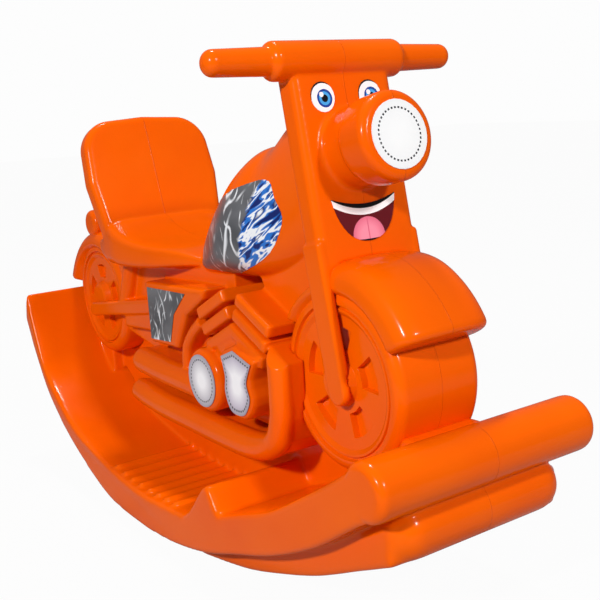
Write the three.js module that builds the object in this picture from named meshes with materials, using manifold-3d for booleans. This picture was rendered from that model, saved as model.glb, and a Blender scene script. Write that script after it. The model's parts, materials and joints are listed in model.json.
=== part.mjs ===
// Rocking motorcycle: a child's one-seat rocker in rotomoulded orange plastic.
// Millimetres, +Z up, the front wheel towards -Y, the rider's left towards +X.
// The origin is on the ground, in the middle of the rocker's width and length.
import * as THREE from 'three';
import { mergeVertices } from 'three/addons/utils/BufferGeometryUtils.js';
import Module from 'manifold-3d';

const wasm = await Module();
wasm.setup();

// Fits and cuts
const seamGap = 0.3;
const decalThickness = 0.6;
const cutOverrun = 2;
const weldDistance = 1e-4;
const slackShare = 0.03;

// Rocker base
const rockerHalfWidth = 139;
const rearTaper = 7;
const rearTaperStart = 190;
const rearReach = 453;
const rearRise = 270;
const frontReach = 453;
const frontRise = 232;
const frontAxleSetback = 169;
const rearAxleInset = 118;
const frontAxleY = -frontReach + frontAxleSetback;
const rearAxleY = rearReach - rearAxleInset;
const slabRise = 9;
const slabFlatRear = 90;
const slabFlatFront = 38;
const deckThickness = 46;
const deckStepRise = 8;
const rockerEdgeRadius = 7;
const crestSetback = 148;
const crestY = frontAxleY + crestSetback;
const crestHeight = 122;
const crestRun = 80;
const troughDrop = 29;
const troughRun = 21;
const rearLipHeight = 44;
const rearLipRun = 14;

// Tread ribs on the deck
const ribCount = 8;
const ribPitch = 24.5;
const ribFirstY = -28;
const ribHeight = 3;
const ribWidth = 9;
const ribOuterInset = 11;
const ribInnerInset = 3;

// Front bar and the roll under it
const barRadius = 29;
const rollRadius = 29;
const rollHalfWidth = 106;
const rollSetback = 10;
const rollDrop = 53;
const keelHalfWidth = 110;
const keelBury = 42;
const keelFlatFront = -60;
const keelFlatRear = 112;
const keelTailRun = 130;
const keelEdgeRadius = 5;

// Web that carries wheels and engine above the deck
const webHalfWidth = 10;
const webRise = 20;
const frontPlinthHalfWidth = 47;
const frontPlinthFromAngle = 186;
const frontPlinthToAngle = 232;
const rearPlinthHalfWidth = 28;

// Wheels
const wheelRadius = 96;
const wheelHalfWidth = 54;
const shoulderRadius = 12;
const sidewallWidth = 1.5;
const frontAxleHeight = 256;
const rearWheelRadius = 86;
const rearWheelHalfWidth = 46;
const rearAxleHeight = 262;
const rimGrooveWidth = 3;
const rimGrooveDepth = 3;
const rimLipWidth = 2.5;
const discRecess = 4;
const hubRadius = 22;
const hubProud = 5;
const pocketCount = 5;
const pocketDepth = 7;
const pocketInnerShare = 0.34;
const pocketOuterShare = 0.7;
const pocketAngleShare = 0.52;

// Front fender
const fenderHalfWidth = 59;
const fenderCrownRadius = 132;
const fenderEdgeRadius = 100;
const fenderFrontAngle = 28;
const fenderRearAngle = 147;
const fenderTailCrownRadius = 104;
const fenderTailEdgeRadius = 98;
const fenderSkirt = 6;

// Rear fender and tail lamp
const rearFenderHalfWidth = 52;
const rearFenderCrownRadius = 104;
const rearFenderEdgeRadius = 84;
const rearFenderFlare = 15;
const rearFenderFrontAngle = 118;
const rearFenderRearAngle = 10;
const tailLampRadius = 21;
const tailLampHalfWidth = 48;
const tailLampSetback = 17;
const tailLampY = rearAxleY + tailLampSetback;
const tailLampRise = 113;
const tailLampHeight = rearAxleHeight + tailLampRise;
const tailLampEdgeRadius = 7;

// Steering head: raked panel, fork legs, handlebar
const rakeAngle = 10.95;
const panelHalfWidth = 63;
const panelThickness = 31;
const panelEdgeRadius = 9;
const panelSetback = 38;
const panelFrontY = frontAxleY + panelSetback;
const panelDatumHeight = 561;
const panelTop = 572;
const panelBottom = 366;
const legWidth = 11.7;
const legDepth = 30;
const legEdgeRadius = 3;
const legFootHeight = 238;
const legHeadHeight = 402;
const handlebarSetback = 15;
const handlebarY = panelFrontY + handlebarSetback;
const handlebarRise = 7;
const handlebarHeight = panelTop + handlebarRise;
const sleeveRadius = 20;
const sleeveHalfLength = 82;
const sleeveEdgeRadius = 6;
const gripRadius = 14.5;
const gripTipRadius = 13;
const gripReach = 155;
const gripSocketDepth = 12;

// Headlight drum
const drumHeight = 489;
const drumRootRadius = 41;
const drumRootFillet = 6;
const drumRadius = 45;
const drumDepth = 72;
const drumNeckShare = 0.4;
const drumRimRadius = 9;
const lensDecalRadius = 34;

// Engine: everything in it hangs from the top of its rear cylinder
const rearBankHeight = 312;
const rearBankLean = 26.5;
const rearBankY = -72;
const frontBankRise = 1;
const frontBankHeight = rearBankHeight + frontBankRise;
const frontBankLean = -24.5;
const frontBankSetback = 120;
const frontBankY = frontAxleY + frontBankSetback;
const engineHalfWidth = 56;
const engineRearY = 44;
const engineLength = 216;
const engineHeight = 84;
const engineCornerRadius = 22;
const bankRise = 52;
const engineTop = rearBankHeight - bankRise;
const engineBottom = engineTop - engineHeight;
const webTop = engineBottom + webRise;
const finHalfWidth = 82;
const finLength = 71;
const finThickness = 15.5;
const finPitch = 20.5;
const finEdgeRadius = 3.5;
const finCount = 3;
const finNeckInset = 16;
const clutchY = -60;
const clutchRise = 44;
const clutchHeight = engineBottom + clutchRise;
const clutchRadius = 39;
const clutchEdgeRadius = 9;
const clutchFace = 92;
const clutchDecalRadius = 32;
const crankCoverY = -139.5;
const crankCoverRise = 56.5;
const crankCoverHeight = engineBottom + crankCoverRise;
const crankCoverHalfLength = 38;
const crankCoverHalfHeight = 43.5;
const crankCoverFace = 90;
const crankCoverEdgeRadius = 7;
const crankDecalInset = 6;

// Fuel tank, seat and backrest
const tankRearY = 28;
const tankHalfWidth = 78;
const tankRise = 29;
const tankBottom = rearBankHeight + tankRise;
const tankHeight = 206;
const seatRearY = 230;
const seatLength = 268;
const seatHalfWidth = 92;
const seatRise = 24;
const seatTop = tankBottom + seatRise;
const seatThickness = 34;
const seatCrown = 5;
const backrestLength = 195;
const backrestHalfWidth = 99;
const backrestFootHalfWidth = 86;
const backrestThickness = 30;
const backrestLean = 18;
const backrestCornerRadius = 46;
const backrestEdgeRadius = 8;
const backrestFootY = 169;
const backrestFootDrop = 19;
const backrestFootHeight = seatTop - backrestFootDrop;

// Frame body, side covers, swing arms and struts
const frameHalfWidth = 44;
const frameArchFromAngle = 205;
const frameArchToAngle = 120;
const neckArchFromAngle = 33;
const neckArchToAngle = 72;
const coverHalfWidth = 77;
const coverEdgeRadius = 6;
const coverRearY = 113;
const coverLength = 166;
const coverDrop = 14;
const coverTop = tankBottom - coverDrop;
const coverHeight = 91;
const swingArmHalfWidth = 62;
const swingArmHeight = 21;
const swingArmOverrun = 15;
const swingArmRearY = rearAxleY + swingArmOverrun;
const swingArmDrop = 17;
const swingArmRearHeight = rearAxleHeight - swingArmDrop;
const swingArmEndFromAngle = -100;
const swingArmEndToAngle = 80;
const swingArmFrontY = 108;
const swingArmFrontHeight = 282;
const pivotHousingRearY = 230;
const pivotHousingBottom = 234;
const pivotHousingInset = 4;
const strutRadius = 13;
const strutFootY = 236;
const strutHeadY = 196;
const strutX = 48;

// Exhaust
const exhaustX = 72;
const headerRadius = 14.5;
const lowerMufflerRadius = 17;
const lowerMufflerTailRadius = 14;
const lowerMufflerDrop = 23;
const lowerMufflerHeight = engineBottom - lowerMufflerDrop;
const lowerMufflerRearY = 160;
const headerSetback = 80;
const headerY = frontAxleY + headerSetback;
const headerDrop = 30;
const headerTop = frontBankHeight - headerDrop;
const headerBendRadius = 60;
const upperMufflerRadius = 17.5;
const upperMufflerTailRadius = 15;
const upperMufflerRise = 26;
const upperMufflerHeight = engineBottom + upperMufflerRise;
const upperMufflerRearY = 146;
const upperMufflerFrontY = -24;
const rearHeaderRadius = 8;

// Decals on the panel and the underside plug
const eyeHalfSpacing = 30;
const eyeHeight = 542;
const eyeHalfWidth = 14.5;
const eyeHalfHeight = 15.5;
const mouthHeight = 418;
const mouthHalfWidth = 41;
const mouthHalfHeight = 23;
const plugRadius = 12;
const plugThickness = 3;
const plugRecess = 1;
const plugY = 85;

// Facets
const roundSegments = 30;
const smallSegments = 22;
const pipeSides = 12;
const softSteps = 3;

const DEGREE = Math.PI / 180;
const X_AXIS = new THREE.Vector3(1, 0, 0);
const Y_AXIS = new THREE.Vector3(0, 1, 0);
const Z_AXIS = new THREE.Vector3(0, 0, 1);

const orange = new THREE.MeshStandardMaterial({ color: 0xfa5a00, roughness: 0.32, metalness: 0 });
const decalWhite = new THREE.MeshStandardMaterial({ color: 0xf4f4f2, roughness: 0.4, metalness: 0 });
const decalGrey = new THREE.MeshStandardMaterial({ color: 0x67696c, roughness: 0.35, metalness: 0 });
const decalSilver = new THREE.MeshStandardMaterial({ color: 0xcfccd4, roughness: 0.35, metalness: 0.1 });
const decalPink = new THREE.MeshStandardMaterial({ color: 0xf3a5bb, roughness: 0.4, metalness: 0 });
const plugBlack = new THREE.MeshStandardMaterial({ color: 0x1c1c1e, roughness: 0.5, metalness: 0 });

// Solids and meshes

function welded(geometry) {
  const bare = geometry.clone();
  bare.deleteAttribute('normal');
  bare.deleteAttribute('uv');
  const merged = mergeVertices(bare, weldDistance);
  const corners = Array.from(merged.index.array);
  const kept = [];
  for (let face = 0; face < corners.length; face += 3) {
    const [a, b, c] = corners.slice(face, face + 3);
    if (a !== b && b !== c && c !== a) {
      kept.push(a, b, c);
    }
  }
  merged.setIndex(kept);
  return merged;
}

function solidOf(geometry) {
  const bare = welded(geometry);
  const mesh = new wasm.Mesh({
    numProp: 3,
    vertProperties: new Float32Array(bare.attributes.position.array),
    triVerts: new Uint32Array(bare.index.array),
  });
  return new wasm.Manifold(mesh);
}

function geometryOf(solid) {
  const mesh = solid.getMesh();
  const geometry = new THREE.BufferGeometry();
  geometry.setAttribute('position', new THREE.BufferAttribute(new Float32Array(mesh.vertProperties), 3));
  geometry.setIndex(new THREE.BufferAttribute(new Uint32Array(mesh.triVerts), 1));
  return geometry;
}

// A copy of the shape with every face moved out by the gap, for cutting a fit
function grown(geometry, gap) {
  const bare = welded(geometry);
  const positions = bare.attributes.position;
  const index = bare.index;
  const corners = [new THREE.Vector3(), new THREE.Vector3(), new THREE.Vector3()];
  const seen = Array.from({ length: positions.count }, () => []);
  for (let face = 0; face < index.count; face += 3) {
    corners.forEach((corner, k) => corner.fromBufferAttribute(positions, index.getX(face + k)));
    const normal = corners[1].clone().sub(corners[0]).cross(corners[2].clone().sub(corners[0])).normalize();
    for (let k = 0; k < 3; k += 1) {
      const vertex = index.getX(face + k);
      if (!seen[vertex].some((other) => other.dot(normal) > 0.9999)) {
        seen[vertex].push(normal);
      }
    }
  }
  seen.forEach((normals, vertex) => {
    const shift = offsetFor(normals, gap);
    positions.setXYZ(
      vertex,
      positions.getX(vertex) + shift.x,
      positions.getY(vertex) + shift.y,
      positions.getZ(vertex) + shift.z,
    );
  });
  return bare;
}

// The shortest move that takes a vertex off all its faces by the gap
function offsetFor(normals, gap) {
  const matrix = new THREE.Matrix3().set(0, 0, 0, 0, 0, 0, 0, 0, 0);
  const e = matrix.elements;
  const right = new THREE.Vector3();
  for (const n of normals) {
    e[0] += n.x * n.x;
    e[1] += n.x * n.y;
    e[2] += n.x * n.z;
    e[4] += n.y * n.y;
    e[5] += n.y * n.z;
    e[8] += n.z * n.z;
    right.add(n);
  }
  e[0] += slackShare;
  e[4] += slackShare;
  e[8] += slackShare;
  e[3] = e[1];
  e[6] = e[2];
  e[7] = e[5];
  const shift = right.applyMatrix3(matrix.invert()).multiplyScalar(gap * (1 + slackShare));
  const longest = 2.5 * gap;
  return shift.length() > longest ? shift.setLength(longest) : shift;
}

// Frames: a profile in (length, height) pushed out across the width, and turned bodies

const ACROSS = new THREE.Matrix4().makeBasis(Y_AXIS, Z_AXIS, X_AXIS);

// An outline in (y, z) extruded across X between two places, with rounded edges
function acrossPlate(outline, fromX, toX, edge = 0, steps = softSteps) {
  const depth = toX - fromX - 2 * edge;
  const geometry = new THREE.ExtrudeGeometry(outline, {
    depth,
    curveSegments: 6,
    bevelEnabled: edge > 0,
    bevelThickness: edge,
    bevelSize: edge,
    bevelOffset: -edge,
    bevelSegments: steps,
  });
  geometry.translate(0, 0, fromX + edge);
  return geometry.applyMatrix4(ACROSS);
}

function outlineOf(points) {
  return new THREE.Shape(points.map(([y, z]) => new THREE.Vector2(y, z)));
}

// A smooth run of points through a few chosen ones
function curveThrough(points, steps) {
  const curve = new THREE.SplineCurve(points.map(([y, z]) => new THREE.Vector2(y, z)));
  return curve.getPoints(steps).map((point) => [point.x, point.y]);
}

function arcPoints(centreY, centreZ, radiusY, radiusZ, from, to, steps) {
  return Array.from({ length: steps + 1 }, (_, k) => {
    const angle = (from + ((to - from) * k) / steps) * DEGREE;
    return [centreY + radiusY * Math.cos(angle), centreZ + radiusZ * Math.sin(angle)];
  });
}

// A body turned about X: the profile runs from axis to axis as [place on the axis, radius]
function turnedAcross(profile, y, z, segments = roundSegments) {
  const points = profile.map(([along, radius]) => new THREE.Vector2(radius, along));
  const geometry = new THREE.LatheGeometry(points, segments);
  geometry.applyMatrix4(new THREE.Matrix4().makeBasis(Y_AXIS, X_AXIS, Z_AXIS.clone().negate()));
  return geometry.translate(0, y, z);
}

// A closed skin through rings of equal length, each end closed to its middle
function loft(rings) {
  const count = rings[0].length;
  const positions = [];
  const faces = [];
  for (const ring of rings) {
    for (const point of ring) {
      positions.push(point.x, point.y, point.z);
    }
  }
  for (let r = 0; r + 1 < rings.length; r += 1) {
    for (let k = 0; k < count; k += 1) {
      const next = (k + 1) % count;
      const a = r * count + k;
      const b = r * count + next;
      const c = (r + 1) * count + next;
      const d = (r + 1) * count + k;
      faces.push(a, b, c, a, c, d);
    }
  }
  for (const [r, flip] of [[0, true], [rings.length - 1, false]]) {
    const middle = rings[r].reduce((sum, point) => sum.add(point), new THREE.Vector3()).divideScalar(count);
    const centre = positions.length / 3;
    positions.push(middle.x, middle.y, middle.z);
    for (let k = 0; k < count; k += 1) {
      const a = r * count + k;
      const b = r * count + ((k + 1) % count);
      faces.push(...(flip ? [centre, b, a] : [centre, a, b]));
    }
  }
  const geometry = new THREE.BufferGeometry();
  geometry.setAttribute('position', new THREE.Float32BufferAttribute(positions, 3));
  geometry.setIndex(faces);
  return geometry;
}

// One ring of a body lofted towards -Y: a rounded box section across X and Z
function boxRing(y, halfWidth, bottom, top, squareness, count = 24) {
  const middle = (top + bottom) / 2;
  const halfHeight = (top - bottom) / 2;
  return Array.from({ length: count }, (_, k) => {
    const angle = (2 * Math.PI * k) / count;
    const c = Math.cos(angle);
    const s = Math.sin(angle);
    const x = halfWidth * Math.sign(c) * Math.abs(c) ** (2 / squareness);
    const z = middle + halfHeight * Math.sign(s) * Math.abs(s) ** (2 / squareness);
    return new THREE.Vector3(x, y, z);
  });
}

// A round tube along a path in the (y, z) plane at one X, its radius changing along it
function tubeAt(x, path, radiusAt, rings, sides = pipeSides) {
  const frames = Array.from({ length: rings + 1 }, (_, k) => k / rings);
  return loft(frames.map((share) => {
    const centre = path.getPointAt(share);
    const along = path.getTangentAt(share);
    const outward = new THREE.Vector3(0, along.y, -along.x);
    const radius = radiusAt(share);
    return Array.from({ length: sides }, (_, k) => {
      const angle = (2 * Math.PI * k) / sides;
      return new THREE.Vector3(x, centre.x, centre.y)
        .addScaledVector(X_AXIS, radius * Math.cos(angle))
        .addScaledVector(outward, radius * Math.sin(angle));
    });
  }));
}

function mirrored(geometry) {
  const copy = welded(geometry);
  copy.applyMatrix4(new THREE.Matrix4().makeScale(-1, 1, 1));
  const index = copy.index;
  for (let face = 0; face < index.count; face += 3) {
    const first = index.getX(face);
    index.setX(face, index.getX(face + 1));
    index.setX(face + 1, first);
  }
  return copy;
}

function joined(...geometries) {
  return geometryOf(geometries.map(solidOf).reduce((sum, solid) => sum.add(solid)));
}

function cut(geometry, ...tools) {
  return geometryOf(tools.map(solidOf).reduce((left, tool) => left.subtract(tool), solidOf(geometry)));
}

function common(first, second) {
  return geometryOf(solidOf(first).intersect(solidOf(second)));
}

// The object, each piece trimmed by those already placed and kept a seam away

const part = new THREE.Group();
const placed = [];

function place(name, geometry, material, trimmedBy = placed) {
  const box = new THREE.Box3().setFromBufferAttribute(geometry.attributes.position);
  box.expandByScalar(seamGap * 2);
  const neighbours = trimmedBy.filter((other) => other.box.intersectsBox(box));
  let solid = solidOf(geometry);
  for (const other of neighbours) {
    solid = solid.subtract(other.cutter);
  }
  const mesh = new THREE.Mesh(geometryOf(solid), material);
  mesh.name = name;
  part.add(mesh);
  placed.push({ name, box, cutter: solidOf(grown(geometry, seamGap)) });
  return mesh;
}

function placePair(name, geometryAtLeft, material) {
  place(`${name}_left`, geometryAtLeft, material);
  place(`${name}_right`, mirrored(geometryAtLeft), material);
}

// Rocker base

const frontUnderShares = [
  [0, 0], [0.166, 0.045], [0.341, 0.149], [0.474, 0.276], [0.653, 0.454], [0.819, 0.678], [0.963, 0.94],
  [1, 1],
];
const rearUnderShares = [
  [0, 0], [0.179, 0.023], [0.366, 0.115], [0.576, 0.258], [0.782, 0.479], [0.909, 0.749], [1, 1],
];
const rearDeckShares = [
  [0, 0], [0.2, 0.011], [0.379, 0.06], [0.576, 0.14], [0.728, 0.274], [0.855, 0.442], [0.915, 0.628], [1, 1],
];
const troughShares = [[0, 0], [0.2, 0.146], [0.418, 0.314], [0.644, 0.562], [0.84, 0.796], [1, 1]];
const stepShares = [[0, 0], [0.2, 0.06], [0.45, 0.34], [0.8, 0.86], [1, 1]];
const keelUnderShares = [
  [0, 0], [0.162, 0.089], [0.288, 0.169], [0.426, 0.29], [0.651, 0.524], [0.852, 0.798], [1, 1],
];
const keelTailShares = [[0, 0], [0.35, 0.14], [0.7, 0.48], [1, 1]];

const barY = -frontReach + barRadius;
const barHeight = frontRise - barRadius;
const rollY = -frontReach + rollRadius + rollSetback;
const rollHeight = barHeight - rollDrop;
const crestFootY = crestY + crestRun;
const deckHeight = slabRise + deckThickness;
const crestFootHeight = deckHeight + deckStepRise;
const troughY = crestY - troughRun;
const troughHeight = crestHeight - troughDrop;

// A smooth run from a start to an end, its shape given as shares of the way between them
function fromShares(shares, start, end, steps) {
  const run = end[0] - start[0];
  const rise = end[1] - start[1];
  return curveThrough(shares.map(([y, z]) => [start[0] + run * y, start[1] + rise * z]), steps);
}

function rearDeckLine(steps) {
  return fromShares(rearDeckShares, [slabFlatFront, deckHeight], [rearReach - rearLipRun, rearRise], steps);
}

function rockerOutline() {
  const underBar = [barY, barHeight - barRadius];
  const underLip = [rearReach, rearRise - rearLipHeight];
  const frontUnder = fromShares(frontUnderShares, [slabFlatFront, slabRise], underBar, 13);
  const rearUnder = fromShares(rearUnderShares, [slabFlatRear, slabRise], underLip, 11);
  const step = fromShares(stepShares, [crestFootY, crestFootHeight], [crestY, crestHeight], 5);
  const barTop = [barY + barRadius / 2, barHeight + barRadius * 0.65];
  const trough = fromShares(troughShares, [troughY, troughHeight], barTop, 8);
  return outlineOf([
    ...rearUnder, ...rearDeckLine(14).reverse(), ...step, ...trough, [barY, barHeight],
    ...frontUnder.reverse(),
  ]);
}

function deckHeightAt(y) {
  const deck = [[crestFootY, crestFootHeight], ...rearDeckLine(36)];
  const after = deck.findIndex(([place]) => place > y);
  const [y0, z0] = deck[after - 1];
  const [y1, z1] = deck[after];
  return z0 + ((z1 - z0) * (y - y0)) / (y1 - y0);
}

function treadRibs() {
  const inner = webHalfWidth + ribInnerInset;
  const outer = rockerHalfWidth - ribOuterInset;
  return Array.from({ length: ribCount }, (_, k) => {
    const y = ribFirstY + ribPitch * k;
    const foot = deckHeightAt(y) - cutOverrun;
    const top = deckHeightAt(y) + ribHeight;
    const half = ribWidth / 2;
    return acrossPlate(
      outlineOf([[y - half, foot], [y + half, foot], [y + half / 2, top], [y - half / 2, top]]), inner, outer,
    );
  });
}

// The slab narrows a little towards its rear end
function tapered(geometry) {
  const points = geometry.getAttribute('position');
  for (let k = 0; k < points.count; k += 1) {
    const along = Math.max(0, (points.getY(k) - rearTaperStart) / (rearReach - rearTaperStart));
    points.setX(k, points.getX(k) * (1 - (rearTaper / rockerHalfWidth) * along));
  }
  return geometry;
}

function rockerBase() {
  const slab = tapered(acrossPlate(rockerOutline(), -rockerHalfWidth, rockerHalfWidth, rockerEdgeRadius));
  const ribs = treadRibs();
  return joined(slab, ...ribs, ...ribs.map(mirrored));
}

// Front bar, keel and the roll at its front

function roundedRoll(radius, halfLength, edge, y, z, segments = roundSegments) {
  const end = arcPoints(halfLength - edge, radius - edge, edge, edge, 90, 0, softSteps);
  const half = [...end, [halfLength, 0]];
  const other = half.map(([along, r]) => [-along, r]).reverse();
  return turnedAcross([...other, ...half], y, z, segments);
}

function plugPocket() {
  const floor = plugRecess + plugThickness + seamGap;
  const radius = plugRadius + seamGap;
  const pocket = new THREE.CylinderGeometry(radius, radius, floor + cutOverrun, 24);
  return pocket.rotateX(Math.PI / 2).translate(0, plugY, (floor - cutOverrun) / 2);
}

function ventPlug() {
  const plug = new THREE.CylinderGeometry(plugRadius, plugRadius, plugThickness, 24);
  return plug.rotateX(Math.PI / 2).translate(0, plugY, plugRecess + plugThickness / 2);
}

function keel() {
  const noseY = rollY - rollRadius * 0.4;
  const noseHeight = rollHeight - rollRadius * 0.9;
  const under = fromShares(keelUnderShares, [keelFlatFront, 0], [noseY, noseHeight], 12);
  const inside = under.map(([y, z]) => [y, z + keelBury]).reverse();
  const tail = fromShares(keelTailShares, [keelFlatRear, 0], [keelFlatRear + keelTailRun, keelBury], 4);
  const outline = outlineOf([...tail.reverse(), ...under, ...inside]);
  const plate = acrossPlate(outline, -keelHalfWidth, keelHalfWidth, keelEdgeRadius);
  const roll = roundedRoll(rollRadius, rollHalfWidth, rollRadius / 3, rollY, rollHeight, smallSegments);
  return cut(joined(plate, roll), plugPocket());
}

// Wheels

function wheelHalfProfile(radius, halfWidth) {
  const shoulder = arcPoints(
    halfWidth - shoulderRadius, radius - shoulderRadius, shoulderRadius, shoulderRadius, 90, 0, softSteps,
  );
  const groove = radius - shoulderRadius - sidewallWidth;
  const lip = groove - rimGrooveWidth;
  const disc = lip - rimLipWidth - discRecess;
  return [
    ...shoulder,
    [halfWidth, groove],
    [halfWidth - rimGrooveDepth, groove],
    [halfWidth - rimGrooveDepth, lip],
    [halfWidth - rimGrooveDepth / 3, lip],
    [halfWidth - rimGrooveDepth / 3, lip - rimLipWidth],
    [halfWidth - discRecess, disc],
    [halfWidth - discRecess, hubRadius + hubProud],
    [halfWidth + hubProud, hubRadius],
    [halfWidth + hubProud, 0],
  ];
}

function wheel(radius, halfWidth, y, z) {
  const half = wheelHalfProfile(radius, halfWidth);
  const other = half.map(([along, r]) => [-along, r]).reverse();
  const disc = radius - shoulderRadius - rimGrooveWidth - discRecess;
  const pockets = Array.from({ length: pocketCount }, (_, k) => {
    const turn = 90 + (360 / pocketCount) * k;
    const spread = (180 / pocketCount) * pocketAngleShare;
    const inner = disc * pocketInnerShare;
    const outer = disc * pocketOuterShare;
    const outline = outlineOf([
      ...arcPoints(y, z, inner, inner, turn - spread, turn + spread, 2),
      ...arcPoints(y, z, outer, outer, turn + spread, turn - spread, 5),
    ]);
    return acrossPlate(outline, halfWidth - discRecess - pocketDepth, halfWidth + hubProud + cutOverrun);
  });
  return cut(turnedAcross([...other, ...half], y, z), ...pockets, ...pockets.map(mirrored));
}

// Fenders: one crowned section set round the axle, its height changing with the angle

const fenderSectionShares = [[1, 0], [0.97, 0.42], [0.84, 0.76], [0.6, 0.94], [0, 1]];

function fender(y, z, halfWidth, innerHalfWidth, rings) {
  return loft(rings.map(({ angle, crown, edge, inner }) => {
    const c = Math.cos(angle * DEGREE);
    const s = Math.sin(angle * DEGREE);
    const outer = fenderSectionShares.map(([across, rise]) => [
      halfWidth * across,
      edge + (crown - edge) * rise,
    ]);
    const half = [[innerHalfWidth, inner], [halfWidth - seamGap, edge - fenderSkirt / 2], ...outer];
    const other = half.slice(0, -1).map(([x, r]) => [-x, r]).reverse();
    return [...half, ...other].map(([x, r]) => new THREE.Vector3(x, y + r * c, z + r * s));
  }));
}

function fenderRings(shares, fromAngle, toAngle, ringAt) {
  return shares.map((share, k) => ({
    angle: fromAngle + ((toAngle - fromAngle) * k) / (shares.length - 1),
    ...ringAt(share),
  }));
}

const frontFenderShares = [0, 0, 0.04, 0.25, 0.68, 0.89, 1, 1, 1, 1];

function frontFender() {
  const rings = fenderRings(frontFenderShares, 180 - fenderRearAngle, 180 - fenderFrontAngle, (share) => ({
    crown: fenderTailCrownRadius + (fenderCrownRadius - fenderTailCrownRadius) * share,
    edge: fenderTailEdgeRadius + (fenderEdgeRadius - fenderTailEdgeRadius) * share,
    inner: wheelRadius - shoulderRadius,
  }));
  return fender(frontAxleY, frontAxleHeight, fenderHalfWidth, wheelHalfWidth - shoulderRadius, rings);
}

const rearFlareShares = [1, 0.62, 0.33, 0.12, 0.03, 0, 0, 0, 0];

function rearFender() {
  const rings = fenderRings(rearFlareShares, rearFenderRearAngle, rearFenderFrontAngle, (share) => ({
    crown: rearFenderCrownRadius + rearFenderFlare * share,
    edge: rearFenderEdgeRadius + rearFenderFlare * share,
    inner: rearWheelRadius - shoulderRadius,
  }));
  return fender(rearAxleY, rearAxleHeight, rearFenderHalfWidth, rearWheelHalfWidth - shoulderRadius, rings);
}

// Steering head

const rake = rakeAngle * DEGREE;
const panelUp = new THREE.Vector3(0, Math.sin(rake), Math.cos(rake));
const panelOut = new THREE.Vector3(0, -Math.cos(rake), Math.sin(rake));

// A point of the panel's front face at a height, or one that stands proud of it
function panelPoint(height, proud = 0) {
  const along = (height - panelDatumHeight) / Math.cos(rake);
  return new THREE.Vector3(0, panelFrontY, panelDatumHeight)
    .addScaledVector(panelUp, along)
    .addScaledVector(panelOut, proud);
}

function panelBackAt(height) {
  return panelFrontY + panelThickness / Math.cos(rake) + (height - panelDatumHeight) * Math.tan(rake);
}

function roundedRect(halfX, halfY, radius) {
  const shape = new THREE.Shape();
  shape.moveTo(-halfX + radius, -halfY);
  shape.lineTo(halfX - radius, -halfY);
  shape.absarc(halfX - radius, -halfY + radius, radius, -Math.PI / 2, 0, false);
  shape.lineTo(halfX, halfY - radius);
  shape.absarc(halfX - radius, halfY - radius, radius, 0, Math.PI / 2, false);
  shape.lineTo(-halfX + radius, halfY);
  shape.absarc(-halfX + radius, halfY - radius, radius, Math.PI / 2, Math.PI, false);
  shape.lineTo(-halfX, -halfY + radius);
  shape.absarc(-halfX + radius, -halfY + radius, radius, Math.PI, 1.5 * Math.PI, false);
  return shape;
}

function forkPanel() {
  const bottom = panelBottom - panelThickness / 3;
  const geometry = new THREE.ExtrudeGeometry(
    roundedRect(panelHalfWidth, panelThickness / 2, panelEdgeRadius),
    { depth: (panelTop - bottom) / Math.cos(rake), bevelEnabled: false, curveSegments: 4 },
  );
  geometry.applyMatrix4(new THREE.Matrix4().makeBasis(X_AXIS, panelOut.clone().negate(), panelUp));
  const foot = panelPoint(bottom, -panelThickness / 2);
  return geometry.translate(foot.x, foot.y, foot.z);
}

// A leg lies along the rake, its foot rounded over the hub
function forkLeg() {
  const foot = panelPoint(legFootHeight, -legDepth / 2);
  const head = panelPoint(legHeadHeight, -legDepth / 2);
  const half = legDepth / 2;
  const side = [Math.cos(rake) * half, -Math.sin(rake) * half];
  const outline = outlineOf([
    ...arcPoints(foot.y, foot.z + half, half, half, 180 - rakeAngle, 360 - rakeAngle, 8),
    [head.y + side[0], head.z + side[1]],
    [head.y - side[0], head.z - side[1]],
  ]);
  const inner = wheelHalfWidth + seamGap;
  return acrossPlate(outline, inner, inner + legWidth, legEdgeRadius, 2);
}

function grip() {
  const start = sleeveHalfLength - gripSocketDepth;
  const round = gripTipRadius * 0.8;
  const tip = arcPoints(gripReach - round, 0, round, gripTipRadius, 90, 0, 5);
  return turnedAcross([[start, 0], [start, gripRadius], ...tip], handlebarY, handlebarHeight, smallSegments);
}

// A turned body whose axis stands square on the panel at a height
function turnedFromPanel(profile, height, segments) {
  const points = profile.map(([along, radius]) => new THREE.Vector2(radius, along));
  const geometry = new THREE.LatheGeometry(points, segments);
  const side = new THREE.Vector3().crossVectors(X_AXIS, panelOut);
  geometry.applyMatrix4(new THREE.Matrix4().makeBasis(X_AXIS, panelOut, side));
  const foot = panelPoint(height);
  return geometry.translate(foot.x, foot.y, foot.z);
}

function headlightDrum() {
  const round = drumRimRadius;
  const rim = arcPoints(drumDepth - round, drumRadius - round, round, round, 90, 0, 3);
  const fillet = drumRootFillet;
  const shoulder = drumRootRadius + (drumRadius - drumRootRadius) * 0.75;
  return turnedFromPanel([
    [-panelThickness / 3, 0],
    [-panelThickness / 3, drumRootRadius + fillet],
    ...arcPoints(fillet, drumRootRadius + fillet, fillet, fillet, 180, 270, 3),
    [drumDepth * drumNeckShare, drumRootRadius],
    [drumDepth * drumNeckShare * 1.1, shoulder],
    [drumDepth * drumNeckShare * 1.25, drumRadius],
    ...rim,
    [drumDepth, 0],
  ], drumHeight, roundSegments);
}

// Tank, seat and backrest

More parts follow.
